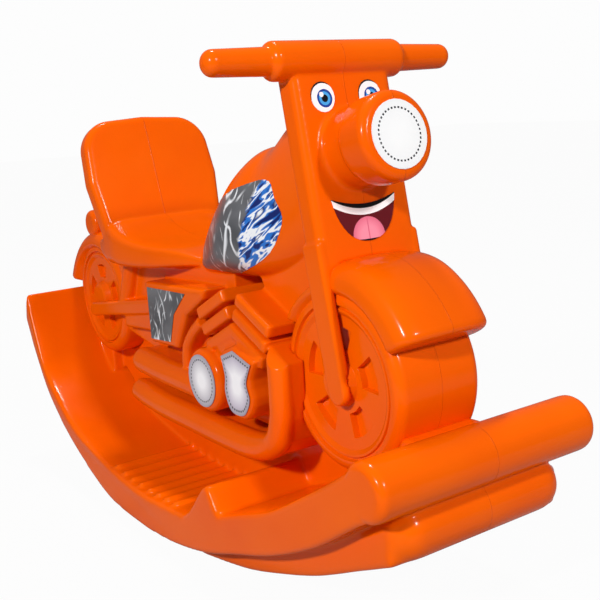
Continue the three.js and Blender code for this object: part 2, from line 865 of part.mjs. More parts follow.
const tankShares = [
  { along: 0, width: 0.1, bottom: 0.0, top: 0.045 },
  { along: 0.028, width: 0.36, bottom: -0.02, top: 0.16 },
  { along: 0.07, width: 0.55, bottom: -0.03, top: 0.255 },
  { along: 0.115, width: 0.65, bottom: -0.03, top: 0.34 },
  { along: 0.171, width: 0.74, bottom: -0.025, top: 0.42 },
  { along: 0.238, width: 0.82, bottom: -0.015, top: 0.515 },
  { along: 0.294, width: 0.87, bottom: -0.01, top: 0.575 },
  { along: 0.374, width: 0.93, bottom: 0, top: 0.64 },
  { along: 0.46, width: 0.98, bottom: 0, top: 0.685 },
  { along: 0.515, width: 1, bottom: 0.005, top: 0.72 },
  { along: 0.56, width: 1, bottom: 0.01, top: 0.785 },
  { along: 0.62, width: 0.99, bottom: 0.02, top: 0.86 },
  { along: 0.72, width: 0.94, bottom: 0.05, top: 0.93 },
  { along: 0.85, width: 0.86, bottom: 0.11, top: 0.97 },
  { along: 1, width: 0.77, bottom: 0.21, top: 1 },
];

// Rings lean over from upright at the seat to the rake of the panel that they run into
function fuelTank() {
  return loft(tankShares.map(({ along, width, bottom, top }) => {
    const ring = boxRing(
      tankRearY,
      tankHalfWidth * width,
      tankBottom + tankHeight * bottom,
      tankBottom + tankHeight * top,
      2.5,
      26,
    );
    return ring.map((point) => {
      const end = panelBackAt(point.z) - panelThickness / 3;
      return new THREE.Vector3(point.x, tankRearY + (end - tankRearY) * along, point.z);
    });
  }));
}

const seatShares = [
  { along: 0, width: 0.9, bottom: 0.5, top: 0.9 },
  { along: 0.02, width: 0.93, bottom: 0.38, top: 1 },
  { along: 0.07, width: 0.96, bottom: 0.16, top: 1.1 },
  { along: 0.12, width: 0.98, bottom: 0, top: 1.54 },
  { along: 0.16, width: 0.99, bottom: 0, top: 1.6 },
  { along: 0.2, width: 1, bottom: 0, top: 1.42 },
  { along: 0.25, width: 1, bottom: 0, top: 1.22 },
  { along: 0.32, width: 0.98, bottom: 0.02, top: 1.07 },
  { along: 0.42, width: 0.94, bottom: 0.06, top: 1 },
  { along: 0.56, width: 0.86, bottom: 0.14, top: 0.98 },
  { along: 0.68, width: 0.74, bottom: 0.24, top: 0.92 },
  { along: 0.78, width: 0.58, bottom: 0.3, top: 0.74 },
  { along: 0.88, width: 0.4, bottom: 0.34, top: 0.5 },
];

function seat() {
  const bottomOf = seatTop - seatThickness;
  return loft(seatShares.map(({ along, width, bottom, top }) => boxRing(
    seatRearY - seatLength * along,
    seatHalfWidth * width,
    bottomOf + (seatThickness + seatCrown) * bottom,
    bottomOf + (seatThickness + seatCrown) * top,
    4,
    24,
  )));
}

function backrestShape() {
  const shape = new THREE.Shape();
  const corner = backrestCornerRadius;
  const waist = backrestLength * 0.55;
  const shoulder = backrestLength - corner;
  const shoulderHalf = backrestHalfWidth * 0.97;
  const cornerHalf = backrestHalfWidth * 0.93;
  shape.moveTo(-backrestFootHalfWidth, 0);
  shape.lineTo(backrestFootHalfWidth, 0);
  shape.lineTo(backrestHalfWidth, waist);
  shape.lineTo(shoulderHalf, shoulder);
  const side = backrestLength - seatCrown;
  const edge = backrestLength - seatCrown / 2;
  shape.quadraticCurveTo(cornerHalf, side, cornerHalf - corner, edge);
  shape.quadraticCurveTo(0, backrestLength + seatCrown / 2, corner - cornerHalf, edge);
  shape.quadraticCurveTo(-cornerHalf, side, -shoulderHalf, shoulder);
  shape.lineTo(-backrestHalfWidth, waist);
  return shape;
}

function backrest() {
  const geometry = new THREE.ExtrudeGeometry(backrestShape(), {
    depth: backrestThickness - 2 * backrestEdgeRadius,
    curveSegments: 6,
    bevelEnabled: true,
    bevelThickness: backrestEdgeRadius,
    bevelSize: backrestEdgeRadius,
    bevelOffset: -backrestEdgeRadius,
    bevelSegments: softSteps,
  });
  geometry.translate(0, 0, backrestEdgeRadius - backrestThickness);
  const lean = backrestLean * DEGREE;
  const up = new THREE.Vector3(0, Math.sin(lean), Math.cos(lean));
  const front = new THREE.Vector3(0, -Math.cos(lean), Math.sin(lean));
  geometry.applyMatrix4(new THREE.Matrix4().makeBasis(X_AXIS, up, front));
  return geometry.translate(0, backrestFootY, backrestFootHeight);
}

// Engine

function engineBlock() {
  const front = engineRearY - engineLength;
  const r = engineCornerRadius;
  return acrossPlate(outlineOf([
    ...arcPoints(engineRearY - r, engineBottom + r, r, r, -90, 0, 4),
    ...arcPoints(engineRearY - r, engineTop - r, r, r, 0, 90, 4),
    ...arcPoints(front + r, engineTop - r, r, r, 90, 180, 4),
    ...arcPoints(front + r, engineBottom + r, r, r, 180, 270, 4),
  ]), -engineHalfWidth, engineHalfWidth, finEdgeRadius);
}

// A cylinder as a stack of finned slabs on a narrower neck, leaning to the front or the rear
function cylinderBank(y, z, lean) {
  const angle = lean * DEGREE;
  const up = [Math.sin(angle), Math.cos(angle)];
  const along = [Math.cos(angle), -Math.sin(angle)];
  const slabAt = (drop, halfLength, halfThickness, halfWidth, edge) => {
    const corner = (a, u) => [y + along[0] * a + up[0] * (u - drop), z + along[1] * a + up[1] * (u - drop)];
    return acrossPlate(outlineOf([
      corner(-halfLength, -halfThickness),
      corner(halfLength, -halfThickness),
      corner(halfLength, halfThickness),
      corner(-halfLength, halfThickness),
    ]), -halfWidth, halfWidth, edge, 2);
  };
  const slabs = Array.from({ length: finCount }, (_, k) => (
    slabAt(finPitch * k, finLength / 2, finThickness / 2, finHalfWidth, finEdgeRadius)
  ));
  const reach = (finPitch * (finCount + 1)) / 2;
  const neck = slabAt(reach, finLength / 2 - finNeckInset, reach, finHalfWidth - finNeckInset, 0);
  return joined(neck, ...slabs);
}

function clutchCover() {
  const root = engineHalfWidth - cutOverrun;
  const round = clutchEdgeRadius;
  const rim = arcPoints(clutchFace - round, clutchRadius - round, round, round, 90, 0, 4);
  return turnedAcross([[root, 0], [root, clutchRadius], ...rim, [clutchFace, 0]], clutchY, clutchHeight);
}

const crankShares = [
  [1, 0.71], [0.17, 1], [-1, 0.74], [-0.64, 0.12], [-0.8, -0.38], [-0.45, -0.87], [0.05, -1], [0.58, -0.9],
  [0.86, -0.4], [0.8, 0.12],
];

function crankOutline(inset) {
  const points = crankShares.map(([y, z]) => [
    crankCoverY + (crankCoverHalfLength - inset) * y,
    crankCoverHeight + (crankCoverHalfHeight - inset) * z,
  ]);
  const round = curveThrough([...points.slice(2), points[0]], 18).slice(0, -1);
  return outlineOf([...points.slice(0, 2), ...round]);
}

function crankCover() {
  return acrossPlate(crankOutline(0), engineHalfWidth - cutOverrun, crankCoverFace, crankCoverEdgeRadius, 2);
}

// Exhaust: half-round pipes moulded on a root that runs in to the body

function pathThrough(points) {
  return new THREE.CatmullRomCurve3(points.map(([y, z]) => new THREE.Vector3(y, z, 0)), false, 'centripetal');
}

// The pipe and its root: the pipe's own side view pushed inwards
function rootedPipe(points, radiusAt, steps, rootHalfWidth) {
  const path = pathThrough(points);
  const sides = Array.from({ length: steps + 1 }, (_, k) => {
    const share = k / steps;
    const centre = path.getPointAt(share);
    const along = path.getTangentAt(share);
    const radius = radiusAt(share) - seamGap;
    return {
      left: [centre.x - along.y * radius, centre.y + along.x * radius],
      right: [centre.x + along.y * radius, centre.y - along.x * radius],
    };
  });
  const outline = outlineOf([...sides.map(({ right }) => right), ...sides.map(({ left }) => left).reverse()]);
  return joined(tubeAt(exhaustX, path, radiusAt, steps), acrossPlate(outline, rootHalfWidth, exhaustX));
}

function muffler(share, tailRadius, radius, frontRadius, tailShare, bodyShare) {
  if (share < tailShare) {
    return tailRadius + (radius - tailRadius) * (share / tailShare);
  }
  const towardsFront = Math.min(1, Math.max(0, ((share - bodyShare) / (1 - bodyShare)) * 3));
  return radius + (frontRadius - radius) * towardsFront;
}

function lowerExhaust() {
  const bend = headerBendRadius;
  const foot = lowerMufflerHeight;
  const radiusAt = (share) => (
    muffler(share, lowerMufflerTailRadius, lowerMufflerRadius, headerRadius, 0.05, 0.45)
  );
  return rootedPipe([
    [lowerMufflerRearY, foot + lowerMufflerRadius / 3],
    [lowerMufflerRearY / 2, foot],
    [0, foot],
    [(headerY + bend) / 2, foot],
    [headerY + bend, foot + bend * 0.05],
    [headerY + bend * 0.3, foot + bend * 0.3],
    [headerY + bend * 0.04, foot + bend * 0.8],
    [headerY, foot + bend * 1.3],
    [headerY, headerTop],
  ], radiusAt, 18, webHalfWidth);
}

function upperExhaust() {
  const radiusAt = (share) => (
    muffler(share, upperMufflerTailRadius, upperMufflerRadius, upperMufflerRadius, 0.1, 0.5)
  );
  return rootedPipe([
    [upperMufflerRearY, upperMufflerHeight + upperMufflerRadius / 6],
    [upperMufflerRearY / 2, upperMufflerHeight],
    [upperMufflerFrontY, upperMufflerHeight],
  ], radiusAt, 9, webHalfWidth);
}

function rearHeader() {
  const start = rearBankY + finLength / 2;
  const reach = (upperMufflerFrontY - start) + finLength / 2;
  const rise = rearBankHeight - upperMufflerHeight;
  const points = [[0, 0.76], [0.5, 0.6], [0.92, 0.38], [1, 0]];
  return rootedPipe(
    points.map(([along, up]) => [start + reach * along, upperMufflerHeight + rise * up]),
    () => rearHeaderRadius, 9, engineHalfWidth - cutOverrun,
  );
}

// Side cover, swing arm, strut and frame

const coverShares = [[0.05, 0], [0, 0.9], [1, 1], [0.96, 0.86], [0.67, 0.55], [0.49, 0.04]];
const coverDecalShares = [[0.07, 0.07], [0.07, 0.835], [0.71, 0.88], [0.5, 0.54], [0.41, 0.12]];

function coverOutline(shares) {
  return outlineOf(shares.map(([along, up]) => [
    coverRearY - coverLength * along,
    coverTop - coverHeight + coverHeight * up,
  ]));
}

function swingArm() {
  const half = swingArmHeight / 2;
  const outline = outlineOf([
    ...arcPoints(
      swingArmRearY - half, swingArmRearHeight, half, half, swingArmEndFromAngle, swingArmEndToAngle, 6,
    ),
    [swingArmFrontY, swingArmFrontHeight + half],
    [swingArmFrontY, swingArmFrontHeight - half],
  ]);
  const arm = acrossPlate(outline, frameHalfWidth - cutOverrun, swingArmHalfWidth, finEdgeRadius, 2);
  const armHeightAt = (y) => swingArmFrontHeight
    + ((swingArmRearHeight - swingArmFrontHeight) * (y - swingArmFrontY)) / (swingArmRearY - swingArmFrontY);
  const housing = acrossPlate(outlineOf([
    [pivotHousingRearY, pivotHousingBottom],
    [pivotHousingRearY, armHeightAt(pivotHousingRearY)],
    [swingArmFrontY, swingArmFrontHeight],
    [swingArmFrontY, pivotHousingBottom + half],
  ]), frameHalfWidth - cutOverrun, swingArmHalfWidth - pivotHousingInset, finEdgeRadius, 2);
  return joined(arm, housing);
}

function strut() {
  const path = pathThrough([
    [strutFootY, swingArmRearHeight + swingArmHeight],
    [strutHeadY, seatTop - seatThickness / 2],
  ]);
  return tubeAt(strutX, path, () => strutRadius, 2, 16);
}

function frameBody() {
  const under = seatTop - seatThickness / 2;
  const round = rearWheelRadius + rimGrooveWidth;
  return acrossPlate(outlineOf([
    [engineRearY - engineCornerRadius, upperMufflerHeight],
    [coverRearY, upperMufflerHeight],
    ...arcPoints(rearAxleY, rearAxleHeight, round, round, frameArchFromAngle, frameArchToAngle, 6),
    [seatRearY + backrestThickness / 2, under],
    [rearBankY, under],
    [rearBankY, rearBankHeight],
    [rearBankY - finPitch / 2, rearBankHeight - finPitch * 2],
  ]), -frameHalfWidth, frameHalfWidth);
}

// The neck fills the space between the fork, the front cylinder and the tank
function steeringNeck() {
  const round = fenderTailCrownRadius - fenderSkirt / 2;
  return acrossPlate(outlineOf([
    ...arcPoints(frontAxleY, frontAxleHeight, round, round, neckArchFromAngle, neckArchToAngle, 4),
    [panelBackAt(tankBottom) - panelThickness / 3, tankBottom + finPitch],
    [panelBackAt(tankBottom) - panelThickness / 3, tankBottom + tankHeight * 0.3],
    [frontBankY, tankBottom + tankHeight * 0.2],
    [frontBankY + finLength / 2, tankBottom + finThickness / 2],
    [frontBankY + finLength / 3, frontBankHeight + finThickness],
    [frontBankY - finLength / 3, frontBankHeight - finThickness],
  ]), -frameHalfWidth, frameHalfWidth);
}

// Web and plinths that carry the wheels and the engine

function centreWeb() {
  const foot = deckThickness / 2;
  const rearEnd = rearAxleY + rearWheelRadius * 0.9;
  const web = acrossPlate(outlineOf([
    [crestY, foot],
    [slabFlatRear, foot],
    [rearAxleY - rearWheelRadius, foot + deckThickness],
    [rearEnd, rearAxleHeight - rearWheelRadius],
    [rearEnd, rearAxleHeight],
    [rearAxleY, rearAxleHeight],
    [rearAxleY - rearWheelRadius, webTop + deckThickness],
    [engineRearY - engineCornerRadius, webTop],
    [frontAxleY + wheelRadius, webTop],
    [frontAxleY, frontAxleHeight],
    [frontAxleY - wheelRadius / 2, troughHeight + troughDrop],
  ]), -webHalfWidth, webHalfWidth);
  const rearPlinth = acrossPlate(outlineOf([
    [rearAxleY + wheelRadius / 4, deckHeightAt(rearAxleY)],
    [rearEnd, rearAxleHeight - rearWheelRadius],
    [rearEnd, rearAxleHeight - rearWheelRadius / 2],
    [rearAxleY + wheelRadius / 4, rearAxleHeight - rearWheelRadius / 2],
  ]), -rearPlinthHalfWidth, rearPlinthHalfWidth);
  return joined(web, rearPlinth);
}

// The fillet that fills the corner between the front tyre, the trough and the bar
function frontPlinth() {
  const round = wheelRadius - shoulderRadius / 3;
  return acrossPlate(outlineOf([
    ...arcPoints(frontAxleY, frontAxleHeight, round, round, frontPlinthFromAngle, frontPlinthToAngle, 5),
    [frontAxleY - wheelRadius / 2, troughHeight + troughDrop],
    [barY + barRadius, barHeight - barRadius / 2],
    [barY + barRadius / 2, barHeight + barRadius / 2],
  ]), -frontPlinthHalfWidth, frontPlinthHalfWidth, finEdgeRadius);
}

// Decals: thin skins that follow the surface under them

function sideDecal(outline, face) {
  return acrossPlate(outline, face + seamGap, face + seamGap + decalThickness);
}

function roundDecal(radius, face, y, z) {
  const near = face + seamGap;
  const far = near + decalThickness;
  return turnedAcross([[near, 0], [near, radius], [far, radius], [far, 0]], y, z);
}

function panelDecal(shape, x, height) {
  const skin = { depth: decalThickness, bevelEnabled: false, curveSegments: 10 };
  const geometry = new THREE.ExtrudeGeometry(shape, skin);
  geometry.applyMatrix4(new THREE.Matrix4().makeBasis(X_AXIS, panelUp, panelOut));
  const foot = panelPoint(height, seamGap);
  return geometry.translate(foot.x + x, foot.y, foot.z);
}

function eyeDecal() {
  const shape = new THREE.Shape();
  shape.absellipse(0, 0, eyeHalfWidth, eyeHalfHeight, 0, 2 * Math.PI, false, 0);
  return panelDecal(shape, eyeHalfSpacing, eyeHeight);
}

function mouthShape() {
  const shape = new THREE.Shape();
  shape.moveTo(mouthHalfWidth, mouthHalfHeight);
  shape.quadraticCurveTo(0, mouthHalfHeight / 3, -mouthHalfWidth, mouthHalfHeight);
  shape.quadraticCurveTo(-mouthHalfWidth * 0.8, -mouthHalfHeight, 0, -mouthHalfHeight);
  shape.quadraticCurveTo(mouthHalfWidth * 0.8, -mouthHalfHeight, mouthHalfWidth, mouthHalfHeight);
  return shape;
}

const tankDecalShares = [
  [0.088, 0.03], [0.1, 0.09], [0.18, 0.223], [0.247, 0.36], [0.31, 0.41], [0.39, 0.461], [0.527, 0.529],
  [0.66, 0.568], [0.73, 0.565], [0.765, 0.54], [0.803, 0.48], [0.85, 0.425], [0.865, 0.38], [0.85, 0.32],
  [0.795, 0.223], [0.718, 0.155], [0.615, 0.097], [0.47, 0.039], [0.32, 0.015], [0.169, 0.01],
];

// Cut from the tank's own skin on each side, whose facets aren't mirrored
function tankDecal(mirror) {
  const front = panelBackAt(tankBottom + tankHeight / 3);
  const points = tankDecalShares.map(([along, up]) => [
    tankRearY + (front - tankRearY) * along,
    tankBottom + tankHeight * up,
  ]);
  const outline = outlineOf(curveThrough([...points, points[0]], 32).slice(0, -1));
  const prism = acrossPlate(outline, tankHalfWidth / 3, tankHalfWidth * 2);
  const tank = fuelTank();
  const skin = cut(grown(tank, seamGap + decalThickness), grown(tank, seamGap));
  return common(skin, mirror ? mirrored(prism) : prism);
}

// Building order: what lies on top trims what carries it

place('headlight_drum', headlightDrum(), orange);
place('front_wheel', wheel(wheelRadius, wheelHalfWidth, frontAxleY, frontAxleHeight), orange);
place('rear_wheel', wheel(rearWheelRadius, rearWheelHalfWidth, rearAxleY, rearAxleHeight), orange);
place('handlebar_sleeve', roundedRoll(
  sleeveRadius, sleeveHalfLength, sleeveEdgeRadius, handlebarY, handlebarHeight, smallSegments,
), orange);
placePair('grip', grip(), orange);
placePair('fork_leg', forkLeg(), orange);
place('front_fender', frontFender(), orange);
place('fork_panel', forkPanel(), orange);
place('fuel_tank', fuelTank(), orange);
place('backrest', backrest(), orange);
place('seat', seat(), orange);
place('tail_lamp', roundedRoll(
  tailLampRadius, tailLampHalfWidth, tailLampEdgeRadius, tailLampY, tailLampHeight, smallSegments,
), orange);
place('rear_fender', rearFender(), orange);

placePair('clutch_cover', clutchCover(), orange);
placePair('crankcase_cover', crankCover(), orange);
place('rear_cylinder', cylinderBank(rearBankY, rearBankHeight, rearBankLean), orange);
place('front_cylinder', cylinderBank(frontBankY, frontBankHeight, frontBankLean), orange);
placePair('side_cover', acrossPlate(
  coverOutline(coverShares), frameHalfWidth - cutOverrun, coverHalfWidth, coverEdgeRadius,
), orange);
placePair('swing_arm', swingArm(), orange);
placePair('shock_strut', strut(), orange);
place('engine_block', engineBlock(), orange);
placePair('exhaust_lower', lowerExhaust(), orange);
placePair('exhaust_upper', upperExhaust(), orange);
placePair('rear_header', rearHeader(), orange);
place('frame_body', frameBody(), orange);
place('steering_neck', steeringNeck(), orange);

place('vent_plug', ventPlug(), plugBlack);
place('front_bar', roundedRoll(
  barRadius, rockerHalfWidth, barRadius / 3, barY, barHeight,
), orange);
place('rocker_base', rockerBase(), orange);
place('lower_roll', keel(), orange);
place('centre_web', centreWeb(), orange);
place('front_plinth', frontPlinth(), orange);

// Decals lie a seam off their faces and trim nothing

const aroundTank = placed.filter(({ name }) => name !== 'fuel_tank');
placed.length = 0;
place('headlight_decal', turnedFromPanel([
  [drumDepth + seamGap, 0],
  [drumDepth + seamGap, lensDecalRadius],
  [drumDepth + seamGap + decalThickness, lensDecalRadius],
  [drumDepth + seamGap + decalThickness, 0],
], drumHeight, roundSegments), decalWhite);
placePair('eye_decal', eyeDecal(), decalWhite);
place('mouth_decal', panelDecal(mouthShape(), 0, mouthHeight), decalPink);
place('tank_decal_left', tankDecal(false), decalGrey, aroundTank);
place('tank_decal_right', tankDecal(true), decalGrey, aroundTank);
placePair('side_cover_decal', sideDecal(coverOutline(coverDecalShares), coverHalfWidth), decalGrey);
placePair('clutch_decal', roundDecal(clutchDecalRadius, clutchFace, clutchY, clutchHeight), decalSilver);
placePair('crankcase_decal', sideDecal(crankOutline(crankDecalInset), crankCoverFace), decalSilver);

export default part;
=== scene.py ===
"""Looks of a rocking motorcycle: a child's ride-on rocker in glossy rotomoulded plastic.

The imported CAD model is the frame. The shell's forms are modelled again with finer curves, run together
under one soft skin as the mould does it, and parted again piece by piece. The printed films lie on that
skin. The forms' sizes are in millimetres, and MM turns them to the metres of the scene. FLAT is the
stretch of a pattern along an axis that it ignores, and RAKE is the steering head's lean.
"""

import json
import logging
import math
from collections.abc import Callable, Iterable
from dataclasses import dataclass, field
from enum import Enum

import bmesh
import bpy
from mathutils import Matrix, Vector
from mathutils.bvhtree import BVHTree

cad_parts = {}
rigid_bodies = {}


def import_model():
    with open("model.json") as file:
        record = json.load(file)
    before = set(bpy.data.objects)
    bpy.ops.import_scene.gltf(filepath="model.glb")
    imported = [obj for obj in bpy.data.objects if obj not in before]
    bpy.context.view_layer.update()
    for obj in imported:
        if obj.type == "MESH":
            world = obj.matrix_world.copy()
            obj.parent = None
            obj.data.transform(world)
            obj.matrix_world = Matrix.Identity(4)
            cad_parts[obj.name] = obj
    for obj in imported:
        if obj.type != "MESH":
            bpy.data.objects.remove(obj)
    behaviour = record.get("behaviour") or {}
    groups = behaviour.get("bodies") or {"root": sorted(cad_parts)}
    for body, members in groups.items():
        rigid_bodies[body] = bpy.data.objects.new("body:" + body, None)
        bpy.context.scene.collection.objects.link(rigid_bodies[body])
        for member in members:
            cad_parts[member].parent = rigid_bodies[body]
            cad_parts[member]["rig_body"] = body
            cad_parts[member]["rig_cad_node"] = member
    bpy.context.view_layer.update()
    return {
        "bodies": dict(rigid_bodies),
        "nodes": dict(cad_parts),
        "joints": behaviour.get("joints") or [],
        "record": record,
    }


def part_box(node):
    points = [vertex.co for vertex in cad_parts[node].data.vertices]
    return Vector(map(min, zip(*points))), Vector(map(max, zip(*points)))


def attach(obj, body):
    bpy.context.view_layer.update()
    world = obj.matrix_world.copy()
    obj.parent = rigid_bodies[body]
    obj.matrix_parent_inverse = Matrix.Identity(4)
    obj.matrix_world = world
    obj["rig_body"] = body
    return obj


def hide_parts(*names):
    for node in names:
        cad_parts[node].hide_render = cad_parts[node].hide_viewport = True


LOG = logging.getLogger("rocking_motorcycle")
MM = 0.001
FLAT = 0.0001
RAKE = math.radians(10.95)
FRONT_AXLE = (-284.0, 256.0)
REAR_AXLE = (335.0, 262.0)
Point = tuple[float, ...]
Colour = tuple[float, float, float, float]
Piece = bpy.types.Object
Material = bpy.types.Material
Socket = bpy.types.NodeSocket
Forms = dict[str, list[Piece]]


class Side(Enum):
    """The rider's side that a piece belongs to."""

    LEFT = 1
    RIGHT = -1

    @property
    def suffix(self) -> str:
        """The ending of the piece's name."""
        return self.name.lower()


def linear(red: int, green: int, blue: int) -> Colour:
    """A display colour as the linear colour that a shader socket takes.

    Args:
        red: Red from 0 to 255.
        green: Green from 0 to 255.
        blue: Blue from 0 to 255.

    Returns:
        The linear colour with full alpha.
    """

    def channel(value: int) -> float:
        """The linear value of one channel from 0 to 255."""
        share = value / 255
        return share / 12.92 if share <= 0.04045 else ((share + 0.055) / 1.055) ** 2.4

    return (channel(red), channel(green), channel(blue), 1.0)


class NodeSheet:
    """A material's node tree, with short calls for the nodes that the finishes share."""

    def __init__(self, name: str) -> None:
        """Starts a material with a Principled shader.

        Args:
            name: The material's name.
        """
        self.material = bpy.data.materials.new(name)
        self.material.use_nodes = True
        self.tree = self.material.node_tree
        self.shader = self.tree.nodes["Principled BSDF"]

    def add(self, kind: str, inputs: dict | None = None, **settings: object) -> bpy.types.Node:
        """Adds a node.

        Args:
            kind: The node's type name.
            inputs: Values or sockets for its inputs, by name or number.
            **settings: Properties to set on it.

        Returns:
            The new node.
        """
        node = self.tree.nodes.new(kind)
        for key, value in settings.items():
            setattr(node, key, value)
        for key, value in (inputs or {}).items():
            self.put(node.inputs[key], value)
        return node

    def wire(self, source: Socket, target: Socket) -> None:
        """Joins two sockets."""
        self.tree.links.new(source, target)

    def put(self, target: Socket, value: object) -> None:
        """Sets a socket to a plain value, or wires another socket to it.

        Args:
            target: The socket that takes the value.
            value: A number, vector or colour, or another node's output.
        """
        if isinstance(value, Socket):
            self.wire(value, target)
        else:
            target.default_value = value

    def math(self, operation: str, first: object, second: object = 0.0) -> Socket:
        """A Math node."""
        return self.add("ShaderNodeMath", {0: first, 1: second}, operation=operation).outputs[0]

    def place(self, origin: Point = (0, 0, 0), turn: Point = (0, 0, 0), scale: Point = (1, 1, 1)) -> Socket:
        """Object coordinates moved to an origin, turned and stretched.

        Args:
            origin: The point of the part that becomes the pattern's middle.
            turn: The turn of the pattern about X, Y and Z, in radians.
            scale: The stretch along X, Y and Z.

        Returns:
            The vector output.
        """
        inputs = {
            "Vector": self.add("ShaderNodeTexCoord").outputs["Object"],
            "Location": origin,
            "Rotation": turn,
            "Scale": [1 / share for share in scale],
        }
        return self.add("ShaderNodeMapping", inputs, vector_type="TEXTURE").outputs["Vector"]

    def noise(self, vector: Socket, scale: float, detail: float = 3.0, distortion: float = 0.0) -> Socket:
        """A noise value over the surface, which repeats about scale times in a metre."""
        inputs = {"Vector": vector, "Scale": scale, "Detail": detail, "Distortion": distortion}
        return self.add("ShaderNodeTexNoise", inputs).outputs["Fac"]

    def ramp(self, value: Socket, stops: list[tuple[float, Colour]], stepped: bool = False) -> Socket:
        """A colour looked up from a value.

        Args:
            value: The value from 0 to 1.
            stops: Places and colours in order.
            stepped: Whether the colours change at once at each place.

        Returns:
            The colour output.
        """
        node = self.add("ShaderNodeValToRGB", {"Fac": value})
        ramp = node.color_ramp
        ramp.interpolation = "CONSTANT" if stepped else "LINEAR"
        while len(ramp.elements) < len(stops):
            ramp.elements.new(1.0)
        for element, (position, colour) in zip(ramp.elements, stops):
            element.position = position
            element.color = colour
        return node.outputs["Color"]

    def blend(self, share: object, first: object, second: object) -> Socket:
        """A mix of two colours.

        Args:
            share: How much of the second colour shows.
            first: The first colour or socket.
            second: The second colour or socket.

        Returns:
            The mixed colour.
        """
        node = self.add("ShaderNodeMix", data_type="RGBA")
        for key, value in (("Factor", share), ("A", first), ("B", second)):
            self.put(node.inputs[key], value)
        return node.outputs["Result"]

    def span(self, value: Socket, low: float, high: float, to_low: float = 0, to_high: float = 1) -> Socket:
        """A value carried from one range to another and kept inside it."""
        inputs = {"Value": value, "From Min": low, "From Max": high, "To Min": to_low, "To Max": to_high}
        return self.add("ShaderNodeMapRange", inputs).outputs["Result"]

    def length(self, vector: Socket) -> Socket:
        """The length of a vector."""
        return self.add("ShaderNodeVectorMath", {0: vector}, operation="LENGTH").outputs["Value"]

    def axes(self, vector: Socket) -> tuple[Socket, ...]:
        """The three parts of a vector."""
        return tuple(self.add("ShaderNodeSeparateXYZ", {"Vector": vector}).outputs)

    def dress(self, colour: object, roughness: object, specular: float = 0.5) -> None:
        """Sets the shader's colour, roughness and specular level.

        Args:
            colour: The colour, or a socket that gives it.
            roughness: The roughness, or a socket that gives it.
            specular: The specular level, a plain number.
        """
        self.put(self.shader.inputs["Base Color"], colour)
        self.put(self.shader.inputs["Roughness"], roughness)
        self.shader.inputs["Specular IOR Level"].default_value = specular

    def bump(self, height: Socket, distance: float) -> None:
        """Raises the surface by a height pattern, whose 1 stands out by the distance."""
        node = self.add("ShaderNodeBump", {"Height": height, "Distance": distance, "Strength": 1.0})
        self.wire(node.outputs["Normal"], self.shader.inputs["Normal"])


@dataclass(frozen=True)
class MouldedPlastic:
    """Glossy rotomoulded polyethylene with a fine skin, slight colour drift and the mould's parting line."""

    name: str = "moulded_orange"
    colour: Colour = linear(240, 96, 0)
    drift_colour: Colour = linear(236, 89, 0)
    drift_scale: float = 8.0
    drift_span: Point = (0.35, 0.7)
    roughness: float = 0.13
    roughness_drift: float = 0.08
    patch_scale: float = 18.0
    patch_span: Point = (0.3, 0.7)
    peel_scale: float = 260.0
    peel_share: float = 0.05
    ripple_scale: float = 34.0
    ripple_share: float = 0.5
    line_half_width: float = 0.55 * MM
    line_share: float = 1.8
    relief: float = 0.3 * MM
    ior: float = 1.5
    specular: float = 0.14

    def build(self) -> Material:
        """Makes the material.

        Returns:
            The finished material.
        """
        sheet = NodeSheet(self.name)
        where = sheet.place()
        cloud = sheet.span(sheet.noise(where, self.drift_scale), *self.drift_span)
        colour = sheet.blend(cloud, self.colour, self.drift_colour)
        patches = sheet.noise(where, self.patch_scale, 4.0)
        worn = sheet.span(patches, *self.patch_span, self.roughness, self.roughness + self.roughness_drift)
        sheet.dress(colour, worn, self.specular)
        sheet.shader.inputs["IOR"].default_value = self.ior
        across = sheet.math("ABSOLUTE", sheet.axes(where)[0])
        line = sheet.span(across, 0.0, self.line_half_width, self.line_share, 0.0)
        peel = sheet.math("MULTIPLY", sheet.noise(where, self.peel_scale, 1.0), self.peel_share)
        ripple = sheet.math("MULTIPLY", sheet.noise(where, self.ripple_scale, 1.0), self.ripple_share)
        sheet.bump(sheet.math("ADD", sheet.math("ADD", peel, ripple), line), self.relief)
        return sheet.material


@dataclass(frozen=True)
class FilmSurface:
    """What the printed films share: a smooth gloss with a faint ripple, and rings of short dashes."""

    roughness: float = 0.28
    specular: float = 0.35
    ripple_scale: float = 60.0
    ripple_height: float = 0.12 * MM
    dash_gap: float = 0.45

    def dashes(self, sheet: NodeSheet, around: Socket, out: Socket, ring: float, half_width: float) -> Socket:
        """A ring of dashes.

        Args:
            sheet: The material.
            around: How many dashes there are up to a place on the ring.
            out: How far out a place is, 1 on the film's outline.
            ring: How far out the ring is.
            half_width: Half a dash's width.

        Returns:
            A value that is 1 on a dash.
        """
        drawn = sheet.math("GREATER_THAN", sheet.math("FRACT", around), self.dash_gap)
        away = sheet.math("ABSOLUTE", sheet.math("SUBTRACT", out, ring))
        return sheet.math("MULTIPLY", drawn, sheet.math("LESS_THAN", away, half_width))

    def finish(self, sheet: NodeSheet, colour: Socket) -> Material:
        """Gives a film's material its colour, the gloss and the ripple.

        Args:
            sheet: The material's nodes.
            colour: The print's colour.

        Returns:
            The finished material.
        """
        sheet.dress(colour, self.roughness, self.specular)
        sheet.bump(sheet.noise(sheet.place(), self.ripple_scale, 2.0), self.ripple_height)
        return sheet.material


